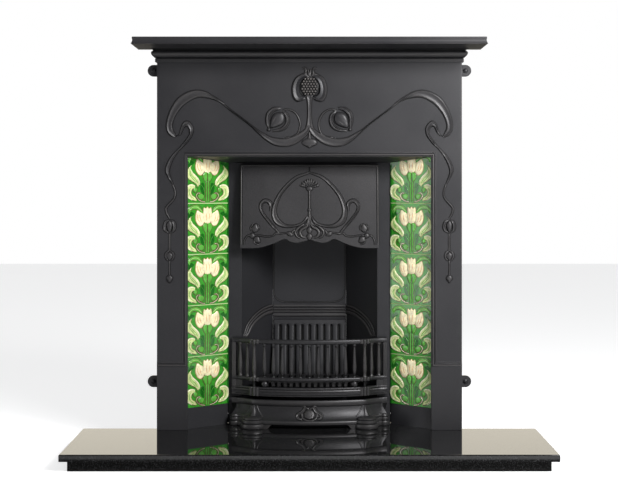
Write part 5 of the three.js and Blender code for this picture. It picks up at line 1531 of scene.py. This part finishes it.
for side in (-1, 1):
    turned(cover, side * (CORNER_HALF + 4), PLATE_FACE - 80, FOOT, 44, foot_tints(44),
           (FOOT_WIDEN, 1.0))
    turned(cover, side * (BARS_HALF - 10), PLATE_FACE - 24,
           [(r * END_FOOT_REACH / FOOT_REACH, z) for r, z in FOOT], 32, foot_tints(32))
    rings = []
    for k in range(END_STATIONS + 1):
        x = CORNER_HALF + 9 + (BARS_HALF - 4 - CORNER_HALF - 9) * k / END_STATIONS
        reach = 0.9 - 0.45 * k / END_STATIONS
        rings.append([(side * (x + r * reach * 0.25), bow(x) - r * reach, z) for r, z in FOOT]
                     + [(side * x, bow(x) + 6, 36.6), (side * x, bow(x) + 6, LIFT)])
    cover.rings(rings, FOOT_SHADES + [0, 0])
    for head, foot, size, spread in RIBS_OF_CORNER:
        rings = []
        for k in range(RIB_STATIONS + 1):
            z = RIB_TOP - RIB_DROP * k / RIB_STATIONS
            x = CORNER_HALF + head + (foot - head) * (k / RIB_STATIONS) ** 1.6
            r = size * (0.9 + 0.4 * k / RIB_STATIONS)
            y = bow(x) - hollow_at(z) * cover_flare(x) + 0.4 * r
            wide = r * (1 + (spread - 1) * (k / RIB_STATIONS) ** 2)
            rings.append([(side * (x + wide * c), y + r * 0.9 * sine, z) for c, sine in circle(14)])
        # painted shade down both flanks of each rib
        cover.rings(rings, [0.2 if -0.9 < c < 0.9 else -1 for c, _ in circle(14)])
    cover.rings([[(side * x, bow(x) - y, z) for x, z in BRACKET] for y in (26.5, 16)], 0.5)
print("cover has", len(cover.faces), "faces with its feet")

# %% [markdown]
# ## Motif of the cover
# In the middle of the hollow face sits a small knot: a boss with a curl on it, held by two leaves
# that cross above it. It is laid on the hollow itself, so each form follows the curve of the face.

# %% Motif
def on_cover(u, z, out):
    """Places relief on the hollow face of the cover."""
    return (u, bow(u) - hollow_at(z) - out, z)


for side in (-1, 1):
    def leaf_face(u, z, out, side=side):
        return on_cover(side * u, z, out)
    ribbon(cover, [(2, 60), (14, 66), (19, 60), (26, 52), (37, 46), (41, 38), (36, 30), (24, 28)],
           [(1, 55), (10, 60), (12, 55), (19, 47), (29, 42), (33, 38), (30, 34), (22, 32)],
           3, leaf_face, 36)
    stroke(cover, [(20, 50), (23, 42), (20, 33), (10, 28), (0, 27)], (3, 4, 4, 3), 3, leaf_face, 24)
for bend in (-1, 1):
    stroke(cover, [(2 * bend, 54), (4 * bend, 60), (11 * bend, 62), (14 * bend, 66.5),
                   (21 * bend, 65)], (4, 3.4, 2.4), 3, on_cover, 18)
    # two flat domes tinted dark beside the knot: painted shade
    pillow(cover, [(23 * bend, 47), (29 * bend, 41), (25 * bend, 35), (20 * bend, 40)], 0.4,
           on_cover, 14, tint=-1.0)
pillow(cover, [(0, 56), (12, 52), (16, 43), (12, 34), (0, 30), (-12, 34), (-16, 43), (-12, 52)], 6,
       on_cover, 32)
stroke(cover, [(-7, 48), (2, 51), (8, 45), (5, 38), (-3, 38), (-5, 43), (0, 46)], (2.5, 3, 2.5),
       1.6, on_cover, 24, lift=5.4)
put("ash_cover_casting", cover, "ash_cover", "burnished_iron", ["ash_cover"])

# %% [markdown]
# ## Back brick
# The back brick stands behind the fire. It is upright at the foot and then leans back, and its face
# is cast with ten ribs between deep slots, which end in a round head. The brick is one section
# carried across, and the ribs are one form set along a straight row by the same node tree as the
# balusters.

# %% Back brick
BRICK_LOW, BRICK_HIGH = extent("back_brick")
BRICK_TURN, BRICK_LEAN, BRICK_TOP = 116.0, 34.0, 306  # mm; the face is upright below the turn
BRICK_HALF, BRICK_TAPER = 112.5, 7                    # half width at the top, and more at the foot
SLOT_DEEP, RIBS, RIB_PITCH = 7.0, 10, 23.2


def brick_face(z):
    """How far out the brick's face is at a height."""
    return BRICK_LOW[1] + BRICK_LEAN * max(0, z - BRICK_TURN) / (BRICK_HIGH[2] - BRICK_TURN)


brick = Casting()
section = [(BRICK_LOW[1], 0), (BRICK_LOW[1], BRICK_TURN), (brick_face(134), 134),
           (brick_face(136) + SLOT_DEEP, 136), (brick_face(291) + SLOT_DEEP, 291),
           (brick_face(292.5), 292.5), (brick_face(304), 304),
           (brick_face(BRICK_TOP) + 2, BRICK_TOP), (BRICK_HIGH[1], BRICK_TOP), (BRICK_HIGH[1], 0)]
# painted shade: the lower face tinted dark and the slots darkest
brick.rings([[(side * (BRICK_HALF + BRICK_TAPER * (1 - z / BRICK_TOP)), y, z) for y, z in section]
             for side in (-1, 1)], [-0.4, -0.4, -0.4, -1.0, -1.0, 0.1, 0.1, 0, 0, 0])
put("back_brick_casting", brick, "fireplace", "blacked_iron", ["back_brick"])
rib = Casting()
RIB_SECTION = ((-1, 0, SLOT_DEEP + 0.3), (-1, 0, 1.6), (-1, 1.2, 0.3), (-1, None, -0.4),
               (1, None, -0.4), (1, 1.2, 0.3), (1, 0, 1.6), (1, 0, SLOT_DEEP + 0.3))
RIB_WIDTHS = ((8, 133), (8, 200), (8, 284), (8.1, 286), (8.6, 288), (9.8, 290), (11.9, 291.6),
              (11.9, 294))                            # half width and height
# painted shade: each rib darker towards its sides, deep in the slots
rib.rings([[(side * (w - (w * 0.5 if inset is None else inset)), brick_face(z) + y, z)
            for side, inset, y in RIB_SECTION] for w, z in RIB_WIDTHS],
          [-0.9, -0.6, -0.25, -0.1, -0.1, -0.25, -0.6, -0.9])
grow("back_brick_ribs", row, "fireplace", "blacked_iron", form=form_of("brick_rib", rib),
     count=RIBS, pitch=RIB_PITCH * MM, middle=0.0, sweep=0.0, corner_half=1.0)    # a straight row

# %% [markdown]
# ## Fireback and the arches of the cheeks
# Above the brick the fireback is a plain plate with a reeded band, and a thin raised line round its
# field. The splayed cheeks carry the band round to the front as an arch of three reeds. The plate
# is a block, and the reeds and arches are round strips laid along lines that are drawn on each
# plate.

# %% Fireback and arches
BACK_FACE, BACK_HALF, BACK_THICK, REED_OUT = 233.02, 117.0, 8, 4
back = Casting()
back.box(-BACK_HALF, BACK_HALF, BACK_FACE, BACK_FACE + BACK_THICK, 0, 800, 0.5)
REEDS = ((312, 326), (326.5, 334), (334.5, 342), (342.5, 353.5))     # foot and top of each
for z0, z1 in REEDS:
    section = [(0.8 if k in (0, 12) else -REED_OUT * math.sin(math.pi * k / 12) ** 0.6,
                z0 + (z1 - z0) * k / 12) for k in range(13)]
    back.rings([[(x, BACK_FACE + y, z) for y, z in section] for x in (-115, 115)], 0.4)


def on_back(u, z, out):
    """Places relief on the fireback."""
    return (u, BACK_FACE - out, z)


LINE_HALF = [(0, 360), (50, 360), (88, 362), (108, 374), (114, 400), (114, 500), (114, 795)]
stroke(back, [(-x, z) for x, z in LINE_HALF[:0:-1]] + LINE_HALF, (2.2, 2.2), 1.2, on_back, 90,
       tint=0.3)
put("fireback_casting", back, "fireplace", "blacked_iron", ["fireback_panel"])

arches = Casting()
CHEEK_FRONT, CHEEK_BACK, CHEEK_LENGTH = Vector((208.9, 91.4)), Vector((117.3, 233.0)), 168.7
cheek_way = CHEEK_BACK - CHEEK_FRONT
cheek_normal = Vector((-cheek_way.y, cheek_way.x)).normalized()
# share of the cheek's length and height, along the arch's outer and inner edge
ARCH_TOP = [(1, 353), (0.75, 349), (0.5, 337), (0.3, 320), (0.13, 297), (0.04, 266)]
ARCH_FOOT = [(1, 320), (0.85, 319), (0.69, 315), (0.5, 304), (0.36, 290), (0.2, 262)]
ARCH_REEDS = ((0.1, 7, 4), (0.38, 7, 4), (0.72, 11, 5))               # place, width and height
for side in (-1, 1):
    def on_cheek(along, z, out, side=side):
        spot = CHEEK_FRONT + cheek_way * (along / CHEEK_LENGTH) + cheek_normal * out
        return (side * spot.x, spot.y, z)
    for lift, size, rise in ARCH_REEDS:
        line = [(CHEEK_LENGTH * (a + (c - a) * lift), b + (d - b) * lift)
                for (a, b), (c, d) in zip(ARCH_TOP, ARCH_FOOT)]
        stroke(arches, line, (size, size * 0.8), rise, on_cheek, 36, tint=0.5)
put("cheek_arches", arches, "fireplace", "blacked_iron")

# %% [markdown]
# ## Sealed joints
# A fitter closes the gaps between the castings with fire cement and blacks it over, so that no
# smoke or daylight comes through beside the tiles or behind the hooks of the bars. The strips are
# plain blocks out of sight behind the plate, so they have the finish of the iron beside them.

# %% Seals
SEAL_X, SEAL_Y = (240, 262.5), (91.5, 94.5)
SEAL_RUNS = ((1, 29), (65, 699), (735, 831))          # heights between the bolts
HOOK_SEAL = (216, 241), (98.4, 100.6), (150, 236)     # a plate behind each hook's slot
seals = Casting()
for side in (-1, 1):
    for (x0, x1), y, z in [(SEAL_X, SEAL_Y, run) for run in SEAL_RUNS] + [HOOK_SEAL]:
        seals.box(*sorted((side * x0, side * x1)), *y, *z, 0.5)
put("fire_cement_seals", seals, "fireplace", "blacked_iron")
